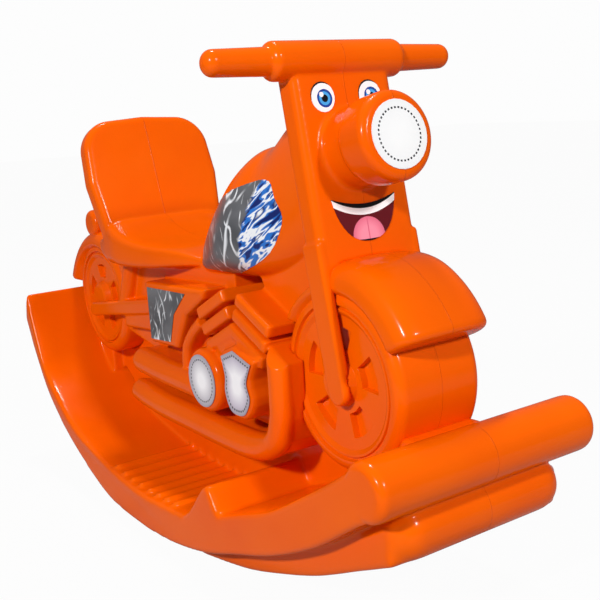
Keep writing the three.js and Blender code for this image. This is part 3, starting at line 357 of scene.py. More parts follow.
@dataclass(frozen=True)
class WispPrint:
    """An abstract print of pale curling wisps on grey, with a blue streaked part towards the front."""

    name: str = "wisp_print"
    dark: Colour = linear(70, 71, 75)
    middle: Colour = linear(108, 109, 113)
    pale: Colour = linear(236, 238, 242)
    blue: Colour = linear(40, 112, 200)
    deep_blue: Colour = linear(16, 36, 104)
    has_blue: bool = True
    blue_from: float = -0.134
    blue_to: float = -0.14
    edge_height: float = 0.4
    edge_lean: float = 0.25
    edge_wander: float = 0.03
    wander_scale: float = 60.0
    streak_turn: float = math.radians(-34)
    streak_length: float = 4.4
    streak_scale: float = 24.0
    streak_swirl: float = 0.35
    lean: float = math.radians(32)
    scale: float = 11.0
    wisp_width: float = 0.045
    wisp_swirl: float = 14.0
    wisp_detail: float = 1.1
    wisp_stretch: Point = (0.2, 1, 0.7)
    fine_scale: float = 1.9
    fine_lean: float = -0.7
    fade_scale: float = 2.2
    fade_turn: Point = (0.4, 0.3, 0)
    fade_span: Point = (0.47, 0.6)

    def wisps(self, sheet: NodeSheet, scale: float, lean: float, width: float) -> Socket:
        """Thin curling lines that fade in and out.

        Args:
            sheet: The material.
            scale: How close the lines lie.
            lean: How far they lean.
            width: How wide they are, as a share of their spacing.

        Returns:
            A value that is 1 in the middle of a line.
        """
        where = sheet.place(turn=(lean, 0, 0), scale=self.wisp_stretch)
        inputs = {"Vector": where, "Scale": scale, "Distortion": self.wisp_swirl}
        inputs.update({"Detail": 1.0, "Detail Scale": self.wisp_detail})
        wave = sheet.add("ShaderNodeTexWave", inputs, wave_type="BANDS", bands_direction="Y")
        line = sheet.span(wave.outputs["Fac"], 1 - width, 1.0)
        cloud = sheet.noise(sheet.place(turn=self.fade_turn), scale * self.fade_scale, 2.0)
        return sheet.math("MULTIPLY", line, sheet.span(cloud, *self.fade_span))

    def streaks(self, sheet: NodeSheet) -> Socket:
        """The colours of the blue part, streak by streak.

        Args:
            sheet: The material's nodes.

        Returns:
            The colour output.
        """
        where = sheet.place(turn=(self.streak_turn, 0, 0), scale=(1, 1, self.streak_length))
        stops = [
            (0.0, self.deep_blue),
            (0.385, self.deep_blue),
            (0.415, self.blue),
            (0.455, self.blue),
            (0.475, self.pale),
            (0.535, self.pale),
            (0.56, self.blue),
            (0.61, self.deep_blue),
            (0.67, self.pale),
        ]
        return sheet.ramp(sheet.noise(where, self.streak_scale, 2.0, self.streak_swirl), stops)

    def blue_share(self, sheet: NodeSheet) -> Socket:
        """How much of the blue part shows, past an edge that leans and wanders.

        Args:
            sheet: The material's nodes.

        Returns:
            The share, from 0 to 1.
        """
        _, along, up = sheet.axes(sheet.place())
        lean = sheet.math("MULTIPLY", sheet.math("SUBTRACT", up, self.edge_height), self.edge_lean)
        wander = sheet.math("MULTIPLY", sheet.noise(sheet.place(), self.wander_scale), self.edge_wander)
        bent = sheet.math("ADD", sheet.math("ADD", along, lean), wander)
        edge = sheet.math("SUBTRACT", bent, self.edge_wander / 2)
        return sheet.span(edge, self.blue_from, self.blue_to)

    def build(self) -> Material:
        """Makes the material.

        Returns:
            The finished material.
        """
        sheet = NodeSheet(self.name)
        cloud = sheet.noise(sheet.place(turn=(self.lean, 0, 0), scale=(1, 1, 2)), self.scale, 2.0, 0.5)
        ground = sheet.blend(sheet.span(cloud, 0.3, 0.7), self.dark, self.middle)
        broad = self.wisps(sheet, self.scale, self.lean, self.wisp_width * 2)
        fine = self.wisps(sheet, self.scale * self.fine_scale, self.lean * self.fine_lean, self.wisp_width)
        colour = sheet.blend(sheet.math("MAXIMUM", broad, fine), ground, self.pale)
        if self.has_blue:
            colour = sheet.blend(self.blue_share(sheet), colour, self.streaks(sheet))
        return FilmSurface().finish(sheet, colour)


@dataclass(frozen=True)
class DottedPrint:
    """A pale round film with a soft darker rim and a ring of short dashes."""

    name: str
    middle: Vector
    half_sizes: Point
    turn: Point = (0, 0, 0)
    pale: Colour = linear(246, 246, 246)
    rim: Colour = linear(240, 240, 241)
    rim_from: float = 0.3
    dash: Colour = linear(44, 44, 50)
    ring: float = 0.76
    dash_half_width: float = 0.028
    dashes: int = 38
    plane: tuple[int, int] = (1, 2)

    def build(self) -> Material:
        """Makes the material.

        Returns:
            The finished material.
        """
        sheet = NodeSheet(self.name)
        parts = sheet.axes(sheet.place(self.middle, self.turn, tuple(1 / size for size in self.half_sizes)))
        across, up = (parts[index] for index in self.plane)
        squares = sheet.math("ADD", sheet.math("MULTIPLY", across, across), sheet.math("MULTIPLY", up, up))
        radius = sheet.math("SQRT", squares)
        base = sheet.ramp(radius, [(0.0, self.pale), (self.rim_from, self.pale), (1.0, self.rim)])
        around = sheet.math("MULTIPLY", sheet.math("ARCTAN2", up, across), self.dashes / (2 * math.pi))
        surface = FilmSurface()
        dashes = surface.dashes(sheet, around, radius, self.ring, self.dash_half_width)
        return surface.finish(sheet, sheet.blend(dashes, base, self.dash))


@dataclass(frozen=True)
class FollowingPrint:
    """A silvery film whose dashes follow its own outline, read from its UV map."""

    name: str = "crankcase_print"
    pale: Colour = linear(250, 249, 252)
    dull: Colour = linear(205, 198, 212)
    rim: Colour = linear(162, 156, 168)
    dash: Colour = linear(40, 36, 48)
    ring: float = 0.86
    dash_half_width: float = 0.032

    def build(self) -> Material:
        """Makes the material.

        Returns:
            The finished material.
        """
        sheet = NodeSheet(self.name)
        chart = sheet.add("ShaderNodeUVMap", uv_map="outline")
        around, out, _ = sheet.axes(chart.outputs["UV"])
        base = sheet.ramp(out, [(0.0, self.pale), (0.3, self.pale), (0.72, self.dull), (1.0, self.rim)])
        surface = FilmSurface()
        dashes = surface.dashes(sheet, around, out, self.ring, self.dash_half_width)
        return surface.finish(sheet, sheet.blend(dashes, base, self.dash))


@dataclass(frozen=True)
class EyePrint:
    """A plain cartoon eye: white, a blue iris with a dark pupil, one light spot and a dark lid line."""

    name: str
    middle: Vector
    half_width: float = 14.5 * MM
    half_height: float = 15.5 * MM
    glance: Point = (0.14, -0.1)
    iris_radius: float = 0.62
    glint_offset: Point = (-0.24, 0.26)
    glint_radius: float = 0.17
    lid: Point = (0.06, -0.08)
    lid_radius: float = 0.97
    white: Colour = linear(250, 250, 252)
    iris: Colour = linear(72, 168, 236)
    iris_edge: Colour = linear(22, 66, 156)
    ink: Colour = linear(6, 8, 18)

    def disc(self, sheet: NodeSheet, across: float, up: float, share: float) -> Socket:
        """The distance from a point of the eye, as a share of a disc's radius.

        Args:
            sheet: The material.
            across: The disc's middle, as a share of the eye's half width.
            up: The disc's middle, as a share of the eye's half height.
            share: The disc's radius, as a share of the eye's half height.

        Returns:
            A value that is 1 on the disc's edge.
        """
        offset = Vector((across * self.half_width, 0, up * self.half_height))
        offset.rotate(Matrix.Rotation(-RAKE, 3, "X"))
        radius = share * self.half_height
        scale = (1 / radius, FLAT / radius, 1 / radius)
        return sheet.length(sheet.place(self.middle + offset, (-RAKE, 0, 0), scale))

    def build(self) -> Material:
        """Makes the material.

        Returns:
            The finished material.
        """
        sheet = NodeSheet(self.name)
        across, up = self.glance
        iris = self.disc(sheet, across, up, self.iris_radius)
        aside, above = self.glint_offset
        glint = self.disc(sheet, across + aside, up + above, self.glint_radius)
        stops = [(0.0, self.ink), (0.4, self.iris), (0.72, self.iris_edge), (0.97, self.white)]
        looked = sheet.ramp(iris, stops, stepped=True)
        inner = sheet.blend(sheet.math("LESS_THAN", glint, 1.0), looked, self.white)
        lid = sheet.math("GREATER_THAN", self.disc(sheet, *self.lid, self.lid_radius), 1.0)
        return FilmSurface().finish(sheet, sheet.blend(lid, inner, self.ink))


@dataclass(frozen=True)
class SmilePrint:
    """A plain open smile: an inked rim, a dark mouth, a row of teeth and a tongue."""

    name: str
    middle: Vector
    half_width: float = 41 * MM
    half_height: float = 23 * MM
    lip_curve: float = 0.5
    lip_from: float = 0.46
    teeth_from: float = 0.17
    bowl_rise: float = 1.6
    bowl_depth: float = 0.92
    tongue_drop: float = 0.8
    tongue_half_width: float = 0.5
    tongue_half_height: float = 0.86
    groove: float = 0.02
    mouth: Colour = linear(96, 16, 26)
    tongue: Colour = linear(248, 150, 172)
    tongue_shade: Colour = linear(226, 112, 140)
    teeth: Colour = linear(252, 252, 252)
    ink: Colour = linear(12, 6, 8)

    def build(self) -> Material:
        """Makes the material.

        Returns:
            The finished material.
        """
        sheet = NodeSheet(self.name)
        turn = (-RAKE, 0, 0)
        shares = (1 / self.half_width, 1, 1 / self.half_height)
        across, _, up = sheet.axes(sheet.place(self.middle, turn, shares))
        square = sheet.math("MULTIPLY", across, across)
        lip = sheet.math("SUBTRACT", up, sheet.math("MULTIPLY", square, self.lip_curve))
        low = self.middle + Vector((0, 0, -self.tongue_drop * self.half_height))
        half_sizes = (self.tongue_half_width * self.half_width, self.tongue_half_height * self.half_height)
        spread = sheet.length(sheet.place(low, turn, (1 / half_sizes[0], FLAT, 1 / half_sizes[1])))
        groove = sheet.math("LESS_THAN", sheet.math("ABSOLUTE", across), self.groove)
        shaded = sheet.blend(sheet.span(spread, 0.5, 1.0), self.tongue, self.tongue_shade)
        flesh = sheet.blend(groove, shaded, self.tongue_shade)
        inner = sheet.blend(sheet.math("LESS_THAN", spread, 1.0), self.mouth, flesh)
        inner = sheet.blend(sheet.math("GREATER_THAN", lip, self.teeth_from), inner, self.teeth)
        upper = sheet.math("GREATER_THAN", lip, self.lip_from)
        fourth = sheet.math("MULTIPLY", square, square)
        bowl = sheet.math("SUBTRACT", sheet.math("MULTIPLY", fourth, self.bowl_rise), self.bowl_depth)
        rim = sheet.math("MAXIMUM", upper, sheet.math("LESS_THAN", up, bowl))
        return FilmSurface().finish(sheet, sheet.blend(rim, inner, self.ink))


@dataclass(frozen=True)
class PlugRubber:
    """The matt black plug in the vent of the mould."""

    name: str = "plug_black"
    dark: Colour = linear(24, 24, 26)
    pale: Colour = linear(40, 40, 43)
    speckle_scale: float = 700.0
    roughness: float = 0.6
    relief: float = 0.1 * MM

    def build(self) -> Material:
        """Makes the material.

        Returns:
            The finished material.
        """
        sheet = NodeSheet(self.name)
        speckle = sheet.noise(sheet.place(), self.speckle_scale)
        sheet.dress(sheet.blend(speckle, self.dark, self.pale), self.roughness)
        sheet.bump(speckle, self.relief)
        return sheet.material


def only(piece: Piece) -> None:
    """Leaves one object selected and active.

    Args:
        piece: The object to select.
    """
    bpy.ops.object.select_all(action="DESELECT")
    piece.select_set(True)
    bpy.context.view_layer.objects.active = piece


def modify(form: Piece, kind: str, **settings: object) -> None:
    """Applies a modifier to a form and leaves the form selected.

    Args:
        form: The form.
        kind: The modifier's type.
        **settings: Properties to set on it.
    """
    modifier = form.modifiers.new(kind, kind)
    for key, value in settings.items():
        setattr(modifier, key, value)
    only(form)
    bpy.ops.object.modifier_apply(modifier=modifier.name)


def spot(place: Point) -> Vector:
    """The point in metres that lies in the part's middle plane at (y, z) in millimetres."""
    return Vector((0, place[0] * MM, place[1] * MM))


def arc(centre: Point, radius: Point, start: float, end: float, steps: int) -> list[Point]:
    """Points on an arc round a middle, with two half sizes, between two angles in degrees."""
    angles = [math.radians(start + (end - start) * step / steps) for step in range(steps + 1)]
    return [(centre[0] + radius[0] * math.cos(a), centre[1] + radius[1] * math.sin(a)) for a in angles]


def smooth_run(points: list[Point], steps: int) -> list[Point]:
    """A smooth run through chosen points.

    Args:
        points: The points, each with any count of numbers.
        steps: How many stretches the run has.

    Returns:
        The points of the run.
    """
    last = len(points) - 1
    run = []
    for step in range(steps + 1):
        place = last * step / steps
        index = min(int(place), last - 1)
        share = place - index
        four = [points[max(0, index - 1)], points[index], points[index + 1], points[min(last, index + 2)]]
        run.append(tuple(between(values, share) for values in zip(*four)))
    return run


def between(values: Point, share: float) -> float:
    """A value between the second and third of four, on a smooth curve through them.

    Args:
        values: Four numbers.
        share: How far along from the second to the third.

    Returns:
        The value.
    """
    first, near, far, last = values
    leave = (far - first) / 2
    reach = (last - near) / 2
    bend = 2 * near - 2 * far + leave + reach
    sway = 3 * far - 3 * near - 2 * leave - reach
    return ((bend * share + sway) * share + leave) * share + near


def box_ring(
    half_width: float,
    bottom: float,
    top: float,
    squareness: float,
    count: int,
    upper: float | None = None,
    waist: float = 0.5,
) -> list[Point]:
    """A rounded box section.

    Args:
        half_width: Half its width.
        bottom: Its lowest height.
        top: Its highest height.
        squareness: 2 for an ellipse and more for squarer corners.
        count: How many points it has.
        upper: The squareness above its widest place, where that differs.
        waist: The height of its widest place, as a share of its whole height.

    Returns:
        The points as (x, z).
    """
    middle = bottom + (top - bottom) * waist
    ring = []
    for step in range(count):
        c = math.cos(2 * math.pi * step / count)
        s = math.sin(2 * math.pi * step / count)
        power = 2 / (upper if upper and s > 0 else squareness)
        half_height = top - middle if s > 0 else middle - bottom
        x = half_width * math.copysign(abs(c) ** power, c)
        z = middle + half_height * math.copysign(abs(s) ** power, s)
        ring.append((x, z))
    return ring


class Bench:
    """Ways to model a form in edit mode, with all lengths in millimetres but for points given as vectors."""

    ACROSS = Matrix(((0, 0, 1, 0), (1, 0, 0, 0), (0, 1, 0, 0), (0, 0, 0, 1)))
    WELD = 0.02 * MM
    EDGE_SEGMENTS = 4
    EDGE_ANGLE = 32.0

    @classmethod
    def close(cls) -> None:
        """Merges doubled points, turns the faces outwards and leaves edit mode."""
        bpy.ops.mesh.select_all(action="SELECT")
        bpy.ops.mesh.remove_doubles(threshold=cls.WELD)
        bpy.ops.mesh.normals_make_consistent(inside=False)
        bpy.ops.object.mode_set(mode="OBJECT")

    @classmethod
    def turned(
        cls,
        name: str,
        profile: list[Point],
        centre: Vector,
        axis: Vector = Vector((1, 0, 0)),
        steps: int = 96,
    ) -> Piece:
        """Turns a profile round an axis.

        Args:
            name: The form's name.
            profile: Points as (place along the axis, radius).
            centre: The point that the profile is measured from.
            axis: The axis.
            steps: How many stretches go round.

        Returns:
            The new object.
        """
        bpy.ops.object.select_all(action="DESELECT")
        bpy.ops.mesh.primitive_plane_add(size=MM)
        form = bpy.context.active_object
        form.name = name
        bpy.ops.object.mode_set(mode="EDIT")
        bpy.ops.mesh.select_all(action="SELECT")
        bpy.ops.mesh.merge(type="CENTER")
        side = axis.cross(Vector((0, 0, 1)) if abs(axis.z) < 0.9 else Vector((0, 1, 0))).normalized()
        points = [centre + axis * (along * MM) + side * (radius * MM) for along, radius in profile]
        bpy.ops.transform.translate(value=points[0])
        for before, after in zip(points, points[1:]):
            bpy.ops.mesh.extrude_vertices_move(TRANSFORM_OT_translate={"value": after - before})
        bpy.ops.mesh.select_all(action="SELECT")
        bpy.ops.mesh.spin(steps=steps, angle=2 * math.pi, center=centre, axis=axis)
        cls.close()
        return form

    @classmethod
    def rolled(cls, name: str, radius: float, half_length: float, edge: float, at: Point) -> Piece:
        """Turns a round bar across X with rounded ends.

        Args:
            name: The form's name.
            radius: Its radius.
            half_length: Half its length.
            edge: The radius of its ends' edges.
            at: Its axis as (y, z).

        Returns:
            The new object.
        """
        end = arc((half_length - edge, radius - edge), (edge, edge), 90, 0, 8)
        half = [*end, (half_length, 0.0)]
        return cls.turned(name, [*((-along, size) for along, size in reversed(half)), *half], spot(at))

    @staticmethod
    def ring(name: str, points: Iterable[Point | Vector]) -> Piece:
        """Starts a form as one face with given corners, left in edit mode and selected.

        Args:
            name: The form's name.
            points: The corners in order.

        Returns:
            The form.
        """
        corners = list(points)
        bpy.ops.object.select_all(action="DESELECT")
        bpy.ops.mesh.primitive_circle_add(vertices=len(corners), radius=MM, fill_type="NGON")
        form = bpy.context.active_object
        form.name = name
        for vertex, corner in zip(form.data.vertices, corners):
            vertex.co = corner
        bpy.ops.object.mode_set(mode="EDIT")
        bpy.ops.mesh.select_all(action="SELECT")
        return form

    @classmethod
    def lofted(cls, name: str, rings: list[list[Vector]]) -> Piece:
        """Draws a body out from ring to ring.

        Args:
            name: The form's name.
            rings: Rings with the same count of points.

        Returns:
            The new object.
        """
        form = cls.ring(name, rings[0])
        for before, after in zip(rings, rings[1:]):
            bpy.ops.mesh.extrude_region_move()
            sheet = bmesh.from_edit_mesh(form.data)
            for vertex in [vertex for vertex in sheet.verts if vertex.select]:
                near = min(range(len(before)), key=lambda index: (before[index] - vertex.co).length_squared)
                vertex.co = after[near]
            bmesh.update_edit_mesh(form.data)
        bpy.ops.mesh.select_all(action="SELECT")
        bpy.ops.mesh.normals_make_consistent(inside=False)
        bpy.ops.object.mode_set(mode="OBJECT")
        return form

    @classmethod
    def plate(
        cls,
        name: str,
        outline: list[Point],
        start: float,
        end: float,
        edge: float = 0.0,
        frame: Matrix | None = None,
        clamped: bool = True,
    ) -> Piece:
        """Pushes an outline out to a plate with rounded edges.

        Args:
            name: The form's name.
            outline: The outline's points.
            start: Where the plate starts across its outline.
            end: Where it ends.
            edge: The radius of its edges.
            frame: What carries outline and thickness into the part, or across X without one.
            clamped: Whether the edges' radius gives way where the outline turns tightly.

        Returns:
            The new object.
        """
        form = cls.ring(name, ((along * MM, up * MM, start * MM) for along, up in outline))
        bpy.ops.mesh.extrude_region_move(TRANSFORM_OT_translate={"value": (0, 0, end * MM - start * MM)})
        cls.close()
        form.data.transform(cls.ACROSS if frame is None else frame)
        if edge > 0:
            cls.bevelled(form, edge, cls.EDGE_SEGMENTS, cls.EDGE_ANGLE, clamped)
        return form

    @staticmethod
    def bevelled(form: Piece, radius: float, segments: int, angle: float, clamped: bool = True) -> None:
        """Rounds the edges that turn by more than an angle in degrees."""
        limit = {"limit_method": "ANGLE", "angle_limit": math.radians(angle), "use_clamp_overlap": clamped}
        modify(form, "BEVEL", width=radius * MM, segments=segments, **limit)

    @staticmethod
    def walled(form: Piece, thickness: float, offset: int) -> None:
        """Gives an open sheet a wall, on its outer side for an offset of 1 and on its inner for -1."""
        modify(form, "SOLIDIFY", thickness=thickness * MM, offset=offset)

    @staticmethod
    def softened(form: Piece, voxel: float, rounds: int, keep: float = 0.3) -> Piece:
        """Draws a form anew as one skin and rounds all of its edges off.

        Args:
            form: The form.
            voxel: The size of the grid that it is drawn on.
            rounds: How often its points are drawn to their neighbours.
            keep: The share of its faces that stays.

        Returns:
            The form.
        """
        modify(form, "REMESH", mode="VOXEL", voxel_size=voxel * MM)
        modify(form, "SMOOTH", factor=0.5, iterations=rounds)
        modify(form, "DECIMATE", ratio=keep)
        return form

    @classmethod
    def tube(
        cls, name: str, path: list[Point], x: float, radius: Callable[[float], float], sides: int = 28
    ) -> Piece:
        """Draws a round tube along a path in one plane across X.

        Args:
            name: The form's name.
            path: Points as (y, z).
            x: The plane's place.
            radius: The radius by share of the way.
            sides: How many points go round.

        Returns:
            The new object.
        """
        last = len(path) - 1
        turns = [2 * math.pi * step / sides for step in range(sides)]
        rings = []
        for index, (y, z) in enumerate(path):
            ahead = path[min(last, index + 1)]
            behind = path[max(0, index - 1)]
            along = Vector((0, ahead[0] * MM - behind[0] * MM, ahead[1] * MM - behind[1] * MM)).normalized()
            outward = Vector((0, along.z, -along.y))
            size = radius(index / last) * MM
            middle = Vector((x * MM, y * MM, z * MM))
            rings.append(
                [
                    middle + Vector((size * math.cos(turn), 0, 0)) + outward * (size * math.sin(turn))
                    for turn in turns
                ]
            )
        return cls.lofted(name, rings)

    @staticmethod
    def copied(form: Piece, name: str) -> Piece:
        """A copy of a form with a mesh of its own.

        Args:
            form: The form to copy.
            name: The copy's name.

        Returns:
            The copy.
        """
        copy = form.copy()
        copy.data = form.data.copy()
        copy.name = name
        bpy.context.scene.collection.objects.link(copy)
        return copy

    @classmethod
    def cad(cls, frame: dict, node: str) -> Piece:
        """A copy of a CAD solid, its loose triangles merged.

        Args:
            node: The solid's node.

        Returns:
            The copy.
        """
        form = cls.copied(frame["nodes"][node], f"{node}_form")
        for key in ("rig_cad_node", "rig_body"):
            del form[key]
        form.parent = None
        only(form)
        bpy.ops.object.mode_set(mode="EDIT")
        bpy.ops.mesh.select_all(action="SELECT")
        bpy.ops.mesh.remove_doubles(threshold=cls.WELD / 2)
        bpy.ops.object.mode_set(mode="OBJECT")
        return form

    @classmethod
    def mirrored(cls, form: Piece, name: str) -> Piece:
        """A copy of a form on the rider's other side.

        Args:
            form: The form to copy.
            name: The copy's name.

        Returns:
            The copy.
        """
        copy = cls.copied(form, name)
        copy.data.transform(Matrix.Scale(-1, 4, (1, 0, 0)))
        copy.data.flip_normals()
        return copy

    @staticmethod
    def joined(name: str, forms: list[Piece]) -> Piece:
        """Joins forms into one object.

        Args:
            name: The joined object's name.
            forms: The forms.

        Returns:
            The object that holds them all.
        """
        only(forms[0])
        for form in forms[1:]:
            form.select_set(True)
        bpy.ops.object.join()
        forms[0].name = name
        return forms[0]


@dataclass
class Assembly:
    """A sub-assembly of the moulded shell: forms by CAD node."""

    frame: dict
    forms: Forms = field(default_factory=dict)

    def add(self, node: str, *forms: Piece) -> None:
        """Adds forms that a CAD node stands for."""
        self.forms.setdefault(node, []).extend(forms)

    def add_pair(self, name: str, *lefts: Piece) -> None:
        """Adds the rider's left forms and their mirrored copies."""
        self.add(f"{name}_left", *lefts)
        self.add(f"{name}_right", *(Bench.mirrored(form, f"{form.name}_right") for form in lefts))

    def add_cad(self, *nodes: str) -> None:
        """Adds copies of CAD solids whose flat forms need no finer curves."""
        for node in nodes:
            self.add(node, Bench.cad(self.frame, node))


@dataclass
class RockerDeck(Assembly):
    """The rocker with its deck, bars, plinth and web."""

    half_width: float = 139.0
    rear_taper: float = 7.0
    taper_start: float = 190.0
    rear_reach: float = 453.0
    rear_rise: float = 270.0
    rise: float = 9.0
    flat_rear: float = 90.0
    flat_front: float = 38.0
    deck_height: float = 55.0
    crest: Point = (-136.0, 122.0)
    crest_run: float = 80.0
    step_height: float = 63.0
    trough: Point = (-157.0, 93.0)
    lip_height: float = 44.0
    lip_run: float = 14.0
    edge: float = 7.0
    bar: Point = (-424.0, 203.0)
    bar_radius: float = 29.0
    roll: Point = (-414.0, 150.0)
    roll_half_length: float = 106.0
    keel_half_width: float = 110.0
    keel_front: float = -60.0
    keel_rear: float = 112.0
    keel_bury: float = 42.0
    rib_first: float = -28.0
    rib_pitch: float = 24.5
    rib_count: int = 8
    rib_width: float = 11.0
    rib_height: float = 4.6
    rib_inner: float = 13.0
    rib_outer: float = 128.0
    rib_bury: float = 3.0
    rib_top_share: float = 0.6
    keel_edge: float = 5.0
    keel_tail: float = 130.0
    grid: float = 2.6
    slab_rounds: int = 16
    runner_rounds: int = 22
    bar_end: float = 9.0
    roll_end: float = 24.0
    plinth_edge: float = 4.0
    plinth_round: float = 94.0
    plinth_half_width: float = 47.0
    plinth_foot: Point = (-46.0, 26.0)
    plinth_lip: float = 5.0
    plinth_rise: float = 14.0
    bar_shoulder: Point = (0.5, 0.65)
    roll_nose: Point = (0.4, 0.9)

    @staticmethod
    def run(shares: list[Point], start: Point, end: Point, steps: int) -> list[Point]:
        """A smooth run between two points, its shape given as shares of the way."""
        points = [(start[0] + (end[0] - start[0]) * y, start[1] + (end[1] - start[1]) * z) for y, z in shares]
        return smooth_run(points, steps)

    def deck_line(self, steps: int) -> list[Point]:
        """The deck's line from the flat to the rear lip.

        Args:
            steps: How many stretches it has.

        Returns:
            Its points as (y, z).
        """
        shares = [
            (0, 0), (0.2, 0.011), (0.379, 0.06), (0.576, 0.14),
            (0.728, 0.274), (0.855, 0.442), (0.915, 0.628), (1, 1),
        ]
        start = (self.flat_front, self.deck_height)
        return self.run(shares, start, (self.rear_reach - self.lip_run, self.rear_rise), steps)

    def deck_at(self, y: float) -> float:
        """The deck's height at a place along it.

        Args:
            y: The place.

        Returns:
            The height.
        """
        line = [(self.crest[0] + self.crest_run, self.step_height), *self.deck_line(60)]
        for (y0, z0), (y1, z1) in zip(line, line[1:]):
            if y <= y1:
                return z0 + (z1 - z0) * (y - y0) / (y1 - y0)
        return line[-1][1]

    def slab(self) -> Piece:
        """The curved slab with its raised crest and trough.

        Returns:
            The form.
        """
        front_shares = [
            (0, 0), (0.166, 0.045), (0.341, 0.149), (0.474, 0.276),
            (0.653, 0.454), (0.819, 0.678), (0.963, 0.94), (1, 1),
        ]
        rear_shares = [
            (0, 0), (0.179, 0.023), (0.366, 0.115), (0.576, 0.258), (0.782, 0.479), (0.909, 0.749), (1, 1),
        ]
        step_shares = [(0, 0), (0.2, 0.06), (0.45, 0.34), (0.8, 0.86), (1, 1)]
        trough_shares = [(0, 0), (0.2, 0.146), (0.418, 0.314), (0.644, 0.562), (0.84, 0.796), (1, 1)]
        under_bar = (self.bar[0], self.bar[1] - self.bar_radius)
        over_bar = tuple(at + self.bar_radius * share for at, share in zip(self.bar, self.bar_shoulder))
        under = self.run(front_shares, (self.flat_front, self.rise), under_bar, 60)
        lip = (self.rear_reach, self.rear_rise - self.lip_height)
        rear = self.run(rear_shares, (self.flat_rear, self.rise), lip, 56)
        foot = (self.crest[0] + self.crest_run, self.step_height)
        step = self.run(step_shares, foot, self.crest, 16)
        trough = self.run(trough_shares, self.trough, over_bar, 40)
        outline = [*rear, *reversed(self.deck_line(60)), *step, *trough, self.bar, *reversed(under)]
        slab = Bench.plate("slab", outline, -self.half_width, self.half_width, self.edge)
        for vertex in slab.data.vertices:
            along = (vertex.co.y / MM - self.taper_start) / (self.rear_reach - self.taper_start)
            vertex.co.x *= 1 - max(0.0, along) * self.rear_taper / self.half_width
        return Bench.softened(slab, self.grid, self.slab_rounds)

    def ribs(self) -> list[Piece]:
        """The tread ribs on both sides of the web.

        Returns:
            The form.
        """
        made = []
        for index in range(self.rib_count):
            y = self.rib_first + self.rib_pitch * index
            foot = self.deck_at(y) - self.rib_bury
            top = self.deck_at(y) + self.rib_height
            half = self.rib_width / 2
            crown = half * self.rib_top_share
            outline = [(y - half, foot), (y + half, foot), (y + crown, top), (y - crown, top)]
            rib = Bench.plate(f"rib_{index}", outline, self.rib_inner, self.rib_outer)
            made.extend([rib, Bench.mirrored(rib, f"rib_{index}_right")])
        return made

    def keel(self) -> Piece:
        """The runner under the slab, which ends in the lower roll.

        Returns:
            The form.
        """
        under_shares = [
            (0, 0), (0.162, 0.089), (0.288, 0.169), (0.426, 0.29), (0.651, 0.524), (0.852, 0.798), (1, 1),
        ]
        nose = tuple(at - self.bar_radius * share for at, share in zip(self.roll, self.roll_nose))
        under = self.run(under_shares, (self.keel_front, 0), nose, 56)
        tail_shares = [(0, 0), (0.35, 0.14), (0.7, 0.48), (1, 1)]
        tail_end = (self.keel_rear + self.keel_tail, self.keel_bury)
        tail = self.run(tail_shares, (self.keel_rear, 0), tail_end, 14)
        outline = [*reversed(tail), *under, *((y, z + self.keel_bury) for y, z in reversed(under))]
        half = self.keel_half_width
        return Bench.plate("keel", outline, -half, half, self.keel_edge)

    def plinth(self) -> Piece:
        """The fillet that fills the corner between the front tyre, the trough and the bar.

        Returns:
            The form.
        """
        behind_bar = self.bar[0] + self.bar_radius
        outline = [
            *arc(FRONT_AXLE, (self.plinth_round,) * 2, 205, 232, 12),
            (FRONT_AXLE[0] + self.plinth_foot[0], self.trough[1] + self.plinth_foot[1]),
            (behind_bar, self.bar[1] - self.bar_radius / 2),
            (behind_bar, self.bar[1] + self.plinth_lip),
            (behind_bar + self.plinth_lip, self.bar[1] + self.plinth_rise),
        ]
        half = self.plinth_half_width
        return Bench.plate("plinth", outline, -half, half, self.plinth_edge)

    def build(self) -> None:
        """Models the forms."""
        self.add("rocker_base", self.slab(), *self.ribs())
        self.add("front_bar", Bench.rolled("bar", self.bar_radius, self.half_width, self.bar_end, self.bar))
        roll = Bench.rolled("roll", self.bar_radius, self.roll_half_length, self.roll_end, self.roll)
        runner = Bench.joined("runner", [self.keel(), roll])
        self.add("lower_roll", Bench.softened(runner, self.grid, self.runner_rounds))
        self.add("front_plinth", self.plinth())
        self.add_cad("centre_web")


